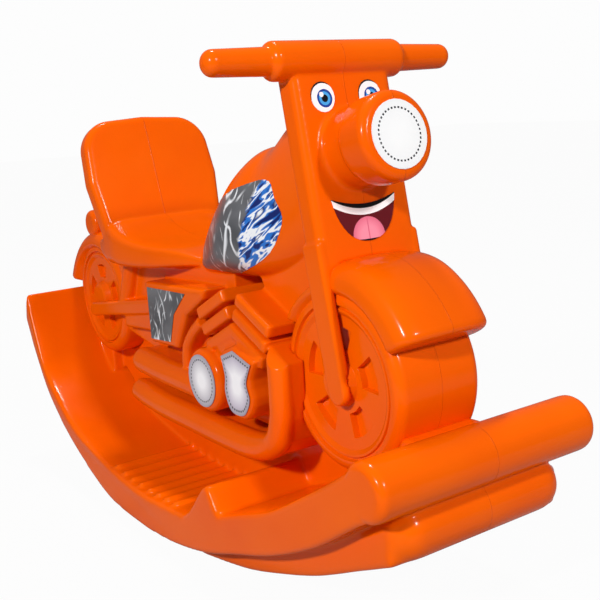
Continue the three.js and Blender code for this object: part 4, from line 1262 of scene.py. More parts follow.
@dataclass
class SteeringHead(Assembly):
    """Fork panel, legs, handlebar, headlight and neck."""

    panel_front: float = -246.0
    panel_datum: float = 561.0
    drum_height: float = 489.0
    drum_bury: float = 10.0
    drum_fillet: float = 6.0
    drum_neck: Point = (26.0, 41.0)
    drum_flare: tuple[Point, ...] = ((28.5, 41.2), (31, 42.4), (33.5, 44.2), (36, 45))
    drum_length: float = 72.0
    drum_radius: float = 45.0
    drum_round: float = 9.0
    handlebar: Point = (-231.0, 579.0)
    sleeve_radius: float = 20.0
    sleeve_half_length: float = 82.0
    grip_radius: float = 14.5
    grip_tip_radius: float = 13.4
    grip_start: float = 60.0
    grip_reach: float = 155.0
    sleeve_end: float = 7.0

    def panel_point(self, height: float) -> Vector:
        """A point in the middle of the panel's front face."""
        return Vector((0, self.panel_front + (height - self.panel_datum) * math.tan(RAKE), height)) * MM

    def drum(self) -> Piece:
        """The headlight: a neck with a fillet at the panel and a wider head.

        Returns:
            The form.
        """
        foot = self.drum_neck[1] + self.drum_fillet
        shoulder = (self.drum_length - self.drum_round, self.drum_radius - self.drum_round)
        profile = [
            (-self.drum_bury, 0),
            (-self.drum_bury, foot),
            (0, foot),
            *arc((self.drum_fillet, foot), (self.drum_fillet,) * 2, 180, 270, 8),
            self.drum_neck,
            *smooth_run(list(self.drum_flare), 8),
            *arc(shoulder, (self.drum_round,) * 2, 90, 0, 10),
            (self.drum_length, 0),
        ]
        out = Vector((0, -math.cos(RAKE), math.sin(RAKE)))
        return Bench.turned("drum", profile, self.panel_point(self.drum_height), out)

    def grip(self) -> Piece:
        """A grip with a domed end.

        Returns:
            The form.
        """
        round_off = self.grip_tip_radius * 0.85
        tip = arc((self.grip_reach - round_off, 0), (round_off, self.grip_tip_radius), 90, 0, 12)
        root = [(self.grip_start, 0), (self.grip_start, self.grip_radius)]
        profile = [*root, (self.sleeve_half_length, self.grip_radius), *tip]
        return Bench.turned("grip", profile, spot(self.handlebar))

    def build(self) -> None:
        """Models the forms."""
        self.add("headlight_drum", self.drum())
        sleeve = (self.sleeve_radius, self.sleeve_half_length, self.sleeve_end, self.handlebar)
        self.add("handlebar_sleeve", Bench.rolled("sleeve", *sleeve))
        self.add_pair("grip", self.grip())
        self.add_cad("fork_panel", "fork_leg_left", "fork_leg_right", "steering_neck")


@dataclass
class Saddle(Assembly):
    """Tank, seat, backrest and the body under them."""

    tank_rear: float = 28.0
    tank_half_width: float = 78.0
    tank_bottom: float = 341.0
    tank_height: float = 206.0
    tank_bury: float = 10.0
    tank_squareness: float = 2.5
    panel_back: float = -214.4
    panel_datum: float = 561.0
    seat_rear: float = 230.0
    seat_length: float = 268.0
    seat_half_width: float = 92.0
    seat_bottom: float = 331.0
    seat_depth: float = 39.0
    seat_squareness: float = 5.5
    backrest_length: float = 195.0
    backrest_half_width: float = 99.0
    backrest_foot_half_width: float = 86.0
    backrest_thickness: float = 30.0
    backrest_corner: float = 46.0
    backrest_crown: float = 3.0
    backrest_waist: float = 0.97
    backrest_edge: float = 9.0
    backrest_lean: float = math.radians(18)
    backrest_foot: Point = (169.0, 346.0)

    def tank(self) -> Piece:
        """The tank: rings that lean over from the seat to the raked panel.

        Returns:
            The form.
        """
        stations = [
            (0, 0.1, 0.0, 0.045, 2.0, 0.4),
            (0.028, 0.34, -0.02, 0.15, 1.9, 0.3),
            (0.07, 0.52, -0.03, 0.25, 1.8, 0.24),
            (0.115, 0.62, -0.03, 0.335, 1.8, 0.22),
            (0.171, 0.71, -0.025, 0.41, 1.8, 0.23),
            (0.238, 0.79, -0.015, 0.495, 1.8, 0.25),
            (0.294, 0.85, -0.01, 0.555, 1.8, 0.27),
            (0.374, 0.92, 0, 0.64, 1.8, 0.3),
            (0.46, 0.95, 0, 0.705, 1.75, 0.32),
            (0.515, 0.955, 0.005, 0.725, 1.65, 0.33),
            (0.56, 0.94, 0.01, 0.735, 1.55, 0.33),
            (0.62, 0.9, 0.02, 0.775, 1.5, 0.32),
            (0.72, 0.83, 0.05, 0.87, 1.5, 0.3),
            (0.85, 0.76, 0.11, 0.955, 1.6, 0.3),
            (1, 0.73, 0.21, 1.05, 1.8, 0.3),
        ]
        rings = []
        for along, width, bottom, top, upper, waist in smooth_run(stations, 64):
            low = self.tank_bottom + self.tank_height * bottom
            high = self.tank_bottom + self.tank_height * top
            half_width = self.tank_half_width * width
            ring = []
            for x, z in box_ring(half_width, low, high, self.tank_squareness, 72, upper, waist):
                end = self.panel_back + (z - self.panel_datum) * math.tan(RAKE) - self.tank_bury
                ring.append(Vector((x, self.tank_rear + (end - self.tank_rear) * along, z)) * MM)
            rings.append(ring)
        return Bench.lofted("tank", rings)

    def seat(self) -> Piece:
        """The seat: a dished pad that rises behind and narrows in front.

        Returns:
            The form.
        """
        stations = [
            (0, 0.9, 0.5, 0.9),
            (0.02, 0.93, 0.38, 1),
            (0.07, 0.96, 0.16, 1.1),
            (0.12, 0.98, 0, 1.6),
            (0.16, 0.99, 0, 1.64),
            (0.2, 1, 0, 1.56),
            (0.25, 1, 0, 1.4),
            (0.32, 0.98, 0.02, 1.24),
            (0.42, 0.94, 0.06, 1.1),
            (0.56, 0.86, 0.14, 1),
            (0.68, 0.74, 0.24, 0.92),
            (0.78, 0.58, 0.3, 0.74),
            (0.88, 0.4, 0.34, 0.5),
        ]
        rings = []
        for along, width, bottom, top in smooth_run(stations, 52):
            low = self.seat_bottom + self.seat_depth * bottom
            high = self.seat_bottom + self.seat_depth * top
            section = box_ring(self.seat_half_width * width, low, high, self.seat_squareness, 64)
            rings.append([Vector((x, self.seat_rear - self.seat_length * along, z)) * MM for x, z in section])
        return Bench.lofted("seat_pad", rings)

    def backrest(self) -> Piece:
        """The backrest: a leaning plate with big corners at its top.

        Returns:
            The form.
        """
        side = self.backrest_half_width * self.backrest_waist
        shoulder = self.backrest_length - self.backrest_corner
        corner = arc((side - self.backrest_corner, shoulder), (self.backrest_corner,) * 2, 0, 90, 14)
        crown = [(0.0, self.backrest_length + self.backrest_crown)]
        right = [(self.backrest_foot_half_width, 0.0), (self.backrest_half_width, shoulder * 0.72), *corner]
        outline = [*right, *crown, *((-x, up) for x, up in reversed(right))]
        lean = self.backrest_lean
        up = Vector((0, math.sin(lean), math.cos(lean)))
        front = Vector((0, -math.cos(lean), math.sin(lean)))
        frame = Matrix((Vector((1, 0, 0)), up, front)).transposed().to_4x4()
        frame.translation = Vector((0, *self.backrest_foot)) * MM
        depth = (-self.backrest_thickness, 0, self.backrest_edge)
        return Bench.plate("backrest_plate", outline, *depth, frame, clamped=False)

    def build(self) -> None:
        """Models the forms."""
        self.add("fuel_tank", self.tank())
        self.add("seat", self.seat())
        self.add("backrest", self.backrest())
        self.add_cad("frame_body")


@dataclass
class Engine(Assembly):
    """Engine block, cylinders, covers, exhausts and the arms behind them."""

    pipe_x: float = 72.0
    header_radius: float = 15.0
    lower_radius: float = 17.4
    lower_tail_radius: float = 16.2
    upper_radius: float = 17.9
    upper_tail_radius: float = 16.8
    lower_path: tuple[Point, ...] = (
        (160, 158.7),
        (80, 153),
        (0, 153),
        (-72, 153),
        (-144, 156),
        (-186, 171),
        (-201.6, 201),
        (-204, 231),
        (-204, 283),
    )
    upper_path: tuple[Point, ...] = ((146, 204.9), (73, 202), (-24, 202))
    lower_shares: Point = (0.05, 0.45, 0.45 + 0.55 / 3)
    upper_shares: Point = (0.1, 0.5, 0.5 + 0.5 / 3)
    clutch: Point = (-60.0, 220.0)
    clutch_radius: float = 39.0
    clutch_root: float = 54.0
    clutch_face: float = 92.0
    clutch_edge: float = 9.0
    header_slope: float = 34.0
    header_drop: float = 0.5
    header_lean: float = 0.25
    gusset: tuple[Point, ...] = ((-120, 287), (-82, 268), (-76, 256), (-96, 244), (-150, 246), (-158, 268))
    gusset_half_width: float = 80.0
    gusset_edge: float = 3.0

    @staticmethod
    def muffler(
        name: str, path: tuple[Point, ...], x: float, radii: Point, shares: Point, steps: int
    ) -> Piece:
        """A pipe that swells out to a muffler.

        Args:
            name: The form's name.
            path: Its path as (y, z), from the tail.
            x: The place of its plane.
            radii: Its radius at the tail, in the middle and at the front.
            shares: Where the tail ends, where the middle ends and where the front's radius is reached.
            steps: How many stretches it has.

        Returns:
            The pipe.
        """
        tail, body, head = radii
        tail_share, body_share, head_share = shares

        def radius(share: float) -> float:
            """The pipe's radius at a place along it.

            Args:
                share: The share of the way from the tail.

            Returns:
                The radius.
            """
            if share < tail_share:
                return tail + (body - tail) * share / tail_share
            front = min(1.0, max(0.0, (share - body_share) / (head_share - body_share)))
            return body + (head - body) * front

        return Bench.tube(name, smooth_run(list(path), steps), x, radius)

    def slope_end(self, pipe: Piece) -> None:
        """Slopes a pipe's top end down to the front and outwards, where it runs under the fins.

        Args:
            pipe: The pipe.
        """
        end_y, end_z = self.lower_path[-1]
        foot = (end_z - self.header_slope) * MM
        for vertex in pipe.data.vertices:
            if vertex.co.z > foot:
                ahead = (end_y + self.header_radius - vertex.co.y / MM) / (2 * self.header_radius)
                out = (abs(vertex.co.x) / MM - self.pipe_x) / self.header_radius
                fall = self.header_drop * min(1.0, max(0.0, ahead))
                lean = self.header_lean * min(1.0, max(0.0, out))
                vertex.co.z = foot + (vertex.co.z - foot) * (1 - fall - lean)

    def build(self) -> None:
        """Models the forms."""
        for side in Side:
            name = side.suffix
            arms = ("swing_arm", "shock_strut", "side_cover", "crankcase_cover")
            pipes = ("exhaust_lower", "exhaust_upper", "rear_header")
            self.add_cad(*(f"{piece}_{name}" for piece in (*arms, *pipes)))
        self.add_cad("engine_block", "rear_cylinder", "front_cylinder")
        half = self.gusset_half_width
        self.add("engine_block", Bench.plate("gusset", list(self.gusset), -half, half, self.gusset_edge))
        radii = (self.lower_tail_radius, self.lower_radius, self.header_radius)
        pipe = self.muffler("lower_pipe", self.lower_path, self.pipe_x, radii, self.lower_shares, 72)
        self.slope_end(pipe)
        self.add_pair("exhaust_lower", pipe)
        for side in Side:
            self.slope_end(self.forms[f"exhaust_lower_{side.suffix}"][0])
        radii = (self.upper_tail_radius, self.upper_radius, self.upper_radius)
        pipe = self.muffler("upper_pipe", self.upper_path, self.pipe_x, radii, self.upper_shares, 30)
        self.add_pair("exhaust_upper", pipe)
        rim = (self.clutch_face - self.clutch_edge, self.clutch_radius - self.clutch_edge)
        profile = [
            (self.clutch_root, 0),
            (self.clutch_root, self.clutch_radius),
            *arc(rim, (self.clutch_edge,) * 2, 90, 0, 8),
            (self.clutch_face, 0),
        ]
        self.add_pair("clutch_cover", Bench.turned("clutch", profile, spot(self.clutch)))


@dataclass
class Wheel:
    """A moulded wheel: tyre, rim groove, disc with pockets and a hub."""

    node: str
    radius: float
    half_width: float
    axle: Point
    shoulder: float = 12.0
    sidewall: float = 2.0
    groove_width: float = 4.0
    groove_depth: float = 4.0
    lip: float = 2.5
    recess: float = 4.5
    hub: float = 22.0
    hub_proud: float = 5.0
    hub_shape: tuple[Point, ...] = ((0.0, 3.5), (7.5, 0.0), (9.5, -3.0))
    pockets: int = 5
    pocket_depth: float = 8.0
    pocket_span: Point = (0.2, 0.78)
    pocket_reach: Point = (0.19, 0.79)
    pocket_turn: float = 20.0
    pocket_inset: float = 1.5
    lean: float = 1.2
    edge: float = 1.3
    edge_angle: float = 28.0
    smooth_angle: float = 50.0
    steps: int = 120

    @property
    def disc(self) -> float:
        """The radius of the disc between the hub and the rim."""
        tyre = self.radius - self.shoulder - self.sidewall
        return tyre - self.groove_width - self.lip - self.recess

    def profile(self) -> list[Point]:
        """Half of the section, from the tread's middle out to the hub.

        Returns:
            Its corners as (along, radius).
        """
        half = self.half_width
        groove = self.radius - self.shoulder - self.sidewall
        lip = groove - self.groove_width
        face = half - self.recess
        inner, outer = (self.hub + (self.disc - self.hub) * share for share in self.pocket_span)
        return [
            (0.0, self.radius),
            *arc((half - self.shoulder, self.radius - self.shoulder), (self.shoulder,) * 2, 90, 0, 10),
            (half, groove),
            (half - self.groove_depth, groove - self.lean),
            (half - self.groove_depth, lip + self.lean * 2 / 3),
            (half - self.lean, lip),
            (half - self.lean, lip - self.lip),
            (face, self.disc),
            (face, outer),
            (face, inner),
            *((face + out, self.hub + up) for out, up in self.hub_shape),
            (half + self.hub_proud, 0),
        ]

    def build(self, material: Material) -> Piece:
        """Models the wheel and dresses it.

        Args:
            material: The shell's finish.

        Returns:
            The finished piece.
        """
        half = self.profile()
        other = [(-along, radius) for along, radius in reversed(half[1:])]
        centre = spot(self.axle)
        wheel = Bench.turned(f"{self.node}_shell", [*other, *half], centre, steps=self.steps)
        self.cut_pockets(wheel, centre)
        Bench.bevelled(wheel, self.edge, 3, self.edge_angle)
        bpy.ops.object.shade_smooth_by_angle(angle=math.radians(self.smooth_angle))
        return finished(wheel, self.node, material)

    def cut_pockets(self, wheel: Piece, centre: Vector) -> None:
        """Sinks the pockets into both faces of the disc.

        Args:
            wheel: The turned wheel.
            centre: Its middle.
        """
        low, high = ((self.hub + (self.disc - self.hub) * share) * MM for share in self.pocket_reach)
        face = (self.half_width - self.recess) * MM
        pitch = 360 / self.pockets
        for side in Side:
            only(wheel)
            bpy.ops.object.mode_set(mode="EDIT")
            bpy.ops.mesh.select_mode(type="FACE")
            bpy.ops.mesh.select_all(action="DESELECT")
            sheet = bmesh.from_edit_mesh(wheel.data)
            for facet in sheet.faces:
                middle = facet.calc_center_median() - centre
                reach = math.hypot(middle.y, middle.z)
                turn = (math.degrees(math.atan2(middle.z, middle.y)) - 90) % pitch
                on_face = abs(middle.x - side.value * face) < 0.5 * MM and low < reach < high
                facet.select_set(on_face and min(turn, pitch - turn) < self.pocket_turn)
            bmesh.update_edit_mesh(wheel.data)
            bpy.ops.mesh.inset(thickness=self.pocket_inset * MM, depth=0)
            inward = (-side.value * self.pocket_depth * MM, 0, 0)
            bpy.ops.mesh.extrude_region_move(TRANSFORM_OT_translate={"value": inward})
            bpy.ops.mesh.select_mode(type="VERT")
            bpy.ops.object.mode_set(mode="OBJECT")


@dataclass
class Fender:
    """A crowned fender over a wheel, its height changing as it goes round."""

    node: str
    half_width: float
    inner_half_width: float
    axle: Point
    start: float
    end: float
    crown: tuple[float, ...]
    edge: tuple[float, ...]
    inner: float
    skirt: float = 6.0
    end_round: float = 7.0
    bevel: float = 1.8
    bevel_angle: float = 50.0
    smooth_angle: float = 60.0
    steps: int = 72
    section: tuple[Point, ...] = (
        (1, 0), (0.99, 0.2), (0.96, 0.46), (0.86, 0.76), (0.66, 0.92), (0.34, 0.985), (0, 1),
    )

    def places(self) -> list[Point]:
        """Where the rings stand round the fender.

        Returns:
            The share of the way round and how far the ring is drawn in, ring by ring.
        """
        reach = math.radians(self.end - self.start) * self.crown[0]
        start = []
        for turn in (math.radians(15 * step) for step in range(7)):
            along = (1 - math.cos(turn)) * self.end_round / reach
            start.append((along, (1 - math.sin(turn)) * self.end_round))
        foot = start[-1][0]
        shares = [step / self.steps for step in range(self.steps)]
        middle = [(share, 0.0) for share in shares if foot < share < 1 - foot]
        return [*start, *middle, *((1 - along, inset) for along, inset in reversed(start))]

    def build(self, material: Material) -> Piece:
        """Models the fender and dresses it.

        Args:
            material: The shell's finish.

        Returns:
            The finished piece.
        """
        stations = smooth_run(list(zip(self.crown, self.edge)), self.steps)
        section = smooth_run(list(self.section), 22)
        rings = []
        for place, inset in self.places():
            crown, edge = stations[round(place * self.steps)]
            turn = math.radians(self.start + (self.end - self.start) * place)
            outer = [
                ((self.half_width - inset) * across, edge + (crown - edge) * rise - inset * rise)
                for across, rise in section
            ]
            skirt = (self.half_width - 1 - inset, edge - self.skirt / 2 + inset / 4)
            half = [(self.inner_half_width, self.inner), skirt, *outer]
            profile = [*half, *((-x, radius) for x, radius in reversed(half[:-1]))]
            rings.append(
                [
                    Vector((x, self.axle[0] + r * math.cos(turn), self.axle[1] + r * math.sin(turn))) * MM
                    for x, r in profile
                ]
            )
        fender = Bench.lofted(f"{self.node}_shell", rings)
        Bench.bevelled(fender, self.bevel, 3, self.bevel_angle)
        bpy.ops.object.shade_smooth_by_angle(angle=math.radians(self.smooth_angle))
        return finished(fender, self.node, material)


def dressed(piece: Piece, material: Material) -> None:
    """Gives a piece one material and notes it in the log.

    Args:
        piece: The piece.
        material: Its finish.
    """
    piece.data.materials.clear()
    piece.data.materials.append(material)
    LOG.info("%s has %d faces in %s", piece.name, len(piece.data.polygons), material.name)


def finished(piece: Piece, node: str, material: Material) -> Piece:
    """Dresses a piece and puts it in its CAD node's place.

    Args:
        piece: The piece.
        node: The CAD node it stands for.
        material: Its finish.

    Returns:
        The piece.
    """
    dressed(piece, material)
    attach(piece, "root")
    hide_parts(node)
    return piece


@dataclass
class Mould:
    """The soft skin that runs over neighbouring forms, parted again at their meeting lines."""

    name: str
    voxel: float
    rounds: int
    keep: float
    wall: float = 2.5

    def skin(self, forms: list[Piece]) -> Piece:
        """Makes one soft skin over copies of the forms.

        Args:
            forms: The forms.

        Returns:
            The skin.
        """
        copies = [Bench.copied(form, f"{form.name}_copy") for form in forms]
        skin = Bench.softened(Bench.joined(f"{self.name}_skin", copies), self.voxel, self.rounds, self.keep)
        LOG.info("%s has %d faces", skin.name, len(skin.data.polygons))
        return skin

    @staticmethod
    def owners(skin: Piece, forms: Forms) -> list[int]:
        """Finds the node whose form lies nearest to each face of the skin.

        Args:
            skin: The skin.
            forms: The forms by node.

        Returns:
            The nodes' numbers, face by face.
        """
        corners: list[Vector] = []
        faces: list[tuple[int, ...]] = []
        owner_of: list[int] = []
        for number, group in enumerate(forms.values()):
            for form in group:
                first = len(corners)
                corners.extend(vertex.co.copy() for vertex in form.data.vertices)
                form.data.calc_loop_triangles()
                for triangle in form.data.loop_triangles:
                    faces.append(tuple(first + index for index in triangle.vertices))
                    owner_of.append(number)
        tree = BVHTree.FromPolygons(corners, faces)
        return [owner_of[tree.find_nearest(face.center)[2]] for face in skin.data.polygons]

    def part(self, skin: Piece, forms: Forms) -> dict[str, Piece]:
        """Parts the skin into one shell for each node.

        Args:
            skin: The skin.
            forms: The forms by node.

        Returns:
            The shells by node.
        """
        normals = [value for vertex in skin.data.vertices for value in vertex.normal]
        kept = skin.data.attributes.new("skin_normal", "FLOAT_VECTOR", "POINT")
        kept.data.foreach_set("vector", normals)
        skin.data.materials.clear()
        for node in forms:
            skin.data.materials.append(bpy.data.materials.new(f"{node}_mark"))
        skin.data.polygons.foreach_set("material_index", self.owners(skin, forms))
        only(skin)
        bpy.ops.object.mode_set(mode="EDIT")
        bpy.ops.mesh.select_all(action="SELECT")
        bpy.ops.mesh.separate(type="MATERIAL")
        bpy.ops.object.mode_set(mode="OBJECT")
        shells = {}
        for shell in list(bpy.context.selected_objects):
            mark = shell.data.materials[shell.data.polygons[0].material_index]
            shells[mark.name.removesuffix("_mark")] = shell
        return shells

    def thicken(self, shell: Piece, node: str) -> None:
        """Gives a shell its wall and the skin's own smooth shading.

        Args:
            shell: The shell.
            node: Its node.
        """
        shell.name = f"{node}_shell"
        count = len(shell.data.vertices)
        Bench.walled(shell, self.wall, -1)
        bpy.ops.object.shade_smooth()
        kept = shell.data.attributes["skin_normal"].data
        normals = [item.vector.copy() * (1 if index < count else -1) for index, item in enumerate(kept)]
        shell.data.normals_split_custom_set_from_vertices(normals)
        shell.data.attributes.remove(shell.data.attributes["skin_normal"])

    def build(self, forms: Forms, material: Material) -> dict[str, Piece]:
        """Runs the forms together, parts them and dresses each shell.

        Args:
            forms: The forms by node.
            material: The shell's finish.

        Returns:
            The finished shells by node.
        """
        every = [form for group in forms.values() for form in group]
        shells = self.part(self.skin(every), forms)
        for node, shell in shells.items():
            self.thicken(shell, node)
            finished(shell, node, material)
        for form in every:
            bpy.data.objects.remove(form)
        for node in forms:
            bpy.data.materials.remove(bpy.data.materials[f"{node}_mark"])
        return shells


def middle_of(node: str) -> Vector:
    """The middle of a CAD node's box."""
    low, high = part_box(node)
    return (low + high) / 2


@dataclass
class TankFilm:
    """The print on the tank's side: a thin film that follows the moulded skin under it."""

    side: Side
    near: float = 0.15
    thickness: float = 0.35
    mesh: float = 4.0
    reach: float = 30.0
    outer_turn: float = 0.25
    smooth_angle: float = 50.0

    @property
    def node(self) -> str:
        """The CAD node that the film stands for."""
        return f"tank_decal_{self.side.suffix}"

    def build(self, frame: dict, skin: Piece, material: Material) -> Piece:
        """Fits a copy of the CAD film to the skin.

        Args:
            skin: The tank's shell.
            material: The film's finish.

        Returns:
            The film.
        """
        film = Bench.cad(frame, self.node)
        film.name = f"{self.node}_film"
        sheet = bmesh.new()
        sheet.from_mesh(film.data)
        under = [face for face in sheet.faces if face.normal.x * self.side.value < self.outer_turn]
        bmesh.ops.delete(sheet, geom=under, context="FACES")
        for _ in range(3):
            long_edges = [edge for edge in sheet.edges if edge.calc_length() > self.mesh * MM]
            bmesh.ops.subdivide_edges(sheet, edges=long_edges, cuts=1, use_grid_fill=True)
            bmesh.ops.triangulate(sheet, faces=sheet.faces[:])
        tree = BVHTree.FromObject(skin, bpy.context.evaluated_depsgraph_get())
        inward = Vector((-self.side.value, 0, 0))
        for vertex in sheet.verts:
            hit, normal, _, _ = tree.ray_cast(vertex.co - inward * self.reach * MM, inward)
            if hit is not None:
                vertex.co = hit + normal * (self.near * MM)
        sheet.to_mesh(film.data)
        sheet.free()
        Bench.walled(film, self.thickness, 1)
        bpy.ops.object.shade_smooth_by_angle(angle=math.radians(self.smooth_angle))
        return finished(film, self.node, material)


@dataclass
class CrankcaseFilm:
    """The silvery print on the crankcase cover, drawn in rings from its outline to its middle."""

    side: Side
    middle: Point = (-139.5, 232.5)
    half_sizes: Point = (32.0, 37.5)
    face: float = 90.25
    thickness: float = 0.45
    dash_pitch: float = 5.6
    peak: Point = (0.17, 1.0)
    peak_steps: int = 12
    rings: tuple[float, ...] = (1.0, 0.93, 0.86, 0.79, 0.7, 0.55, 0.38, 0.2)

    @property
    def node(self) -> str:
        """The CAD node that the film stands for."""
        return f"crankcase_decal_{self.side.suffix}"

    def outline(self) -> list[Point]:
        """The film's outline.

        Returns:
            Its points as (y, z) from the film's middle.
        """
        shares = [
            (-1, 0.74), (-0.64, 0.12), (-0.8, -0.38), (-0.45, -0.87), (0.05, -1), (0.58, -0.9), (0.86, -0.4),
            (0.8, 0.12), (1, 0.71),
        ]
        half_width, half_height = self.half_sizes
        sides = smooth_run([(y * half_width, z * half_height) for y, z in shares], 80)
        peak = (self.peak[0] * half_width, self.peak[1] * half_height)
        last = self.peak_steps
        left = [tuple(a + (b - a) * k / last for a, b in zip(sides[-1], peak)) for k in range(1, last + 1)]
        right = [tuple(a + (b - a) * k / last for a, b in zip(peak, sides[0])) for k in range(1, last)]
        return [*sides, *left, *right]

    def dash_places(self, outline: list[Point]) -> list[float]:
        """Counts the dashes round the outline, a whole number all round.

        Args:
            outline: The outline's points in order.

        Returns:
            How many dashes there are up to each point.
        """
        lengths = [0.0]
        for first, second in zip(outline, [*outline[1:], outline[0]]):
            lengths.append(lengths[-1] + math.dist(first, second) / self.dash_pitch)
        scale = round(lengths[-1]) / lengths[-1]
        return [length * scale for length in lengths]

    def build(self, material: Material) -> Piece:
        """Draws the film and its UV map.

        Args:
            material: The film's finish.

        Returns:
            The film.
        """
        outline = self.outline()
        places = self.dash_places(outline)
        turn = self.side.value
        sheet = bmesh.new()
        chart = sheet.loops.layers.uv.new("outline")
        rings = []
        for share in self.rings:
            ring = [(self.middle[0] + y * share, self.middle[1] + z * share) for y, z in outline]
            rings.append([sheet.verts.new(Vector((turn * self.face, y, z)) * MM) for y, z in ring])
        for index, (outer, inner) in enumerate(zip(rings, rings[1:])):
            for step in range(len(outline)):
                after = (step + 1) % len(outline)
                face = sheet.faces.new((outer[step], outer[after], inner[after], inner[step]))
                corners = ((step, 0), (step + 1, 0), (step + 1, 1), (step, 1))
                for loop, (place, inside) in zip(face.loops, corners):
                    loop[chart].uv = (places[place], self.rings[index + inside])
        for loop in sheet.faces.new(rings[-1]).loops:
            loop[chart].uv = (0.0, self.rings[-1])
        bmesh.ops.recalc_face_normals(sheet, faces=sheet.faces[:])
        sheet.faces.ensure_lookup_table()
        if sheet.faces[0].normal.x * turn < 0:
            bmesh.ops.reverse_faces(sheet, faces=sheet.faces[:])
        data = bpy.data.meshes.new(f"{self.node}_film")
        sheet.to_mesh(data)
        sheet.free()
        film = bpy.data.objects.new(f"{self.node}_film", data)
        bpy.context.scene.collection.objects.link(film)
        Bench.walled(film, self.thickness, 1)
        return finished(film, self.node, material)


@dataclass
class Prints:
    """The flat printed films, which keep their CAD solids and get their finishes here."""

    disc_radius: float = 34 * MM

    def finishes(self) -> dict[str, Material]:
        """Makes each film's material.

        Returns:
            The materials by CAD node.
        """
        disc = (self.disc_radius,) * 3
        streaks = WispPrint(
            name="streak_print",
            has_blue=False,
            scale=15.0,
            lean=math.radians(-30),
            dark=linear(60, 61, 65),
            wisp_width=0.07,
        ).build()
        made = {
            "headlight_decal": DottedPrint(
                "headlight_print", middle_of("headlight_decal"), disc, (-RAKE, 0, 0), plane=(0, 2)
            ).build(),
            "mouth_decal": SmilePrint("smile_print", middle_of("mouth_decal")).build(),
        }
        for side in Side:
            name = side.suffix
            eye = f"eye_decal_{name}"
            made[eye] = EyePrint(f"eye_print_{name}", middle_of(eye)).build()
            made[f"side_cover_decal_{name}"] = streaks
            clutch = f"clutch_decal_{name}"
            low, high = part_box(clutch)
            half = (high - low) / 2
            made[clutch] = DottedPrint(
                f"clutch_print_{name}",
                middle_of(clutch),
                (1.0, half.y, half.z),
                pale=linear(250, 249, 252),
                rim=linear(164, 158, 170),
                rim_from=0.25,
                dash=linear(40, 36, 48),
                ring=0.8,
                dashes=34,
            ).build()
        return made

    def build(self, frame: dict) -> None:
        """Dresses every film."""
        for node, material in self.finishes().items():
            dressed(frame["nodes"][node], material)


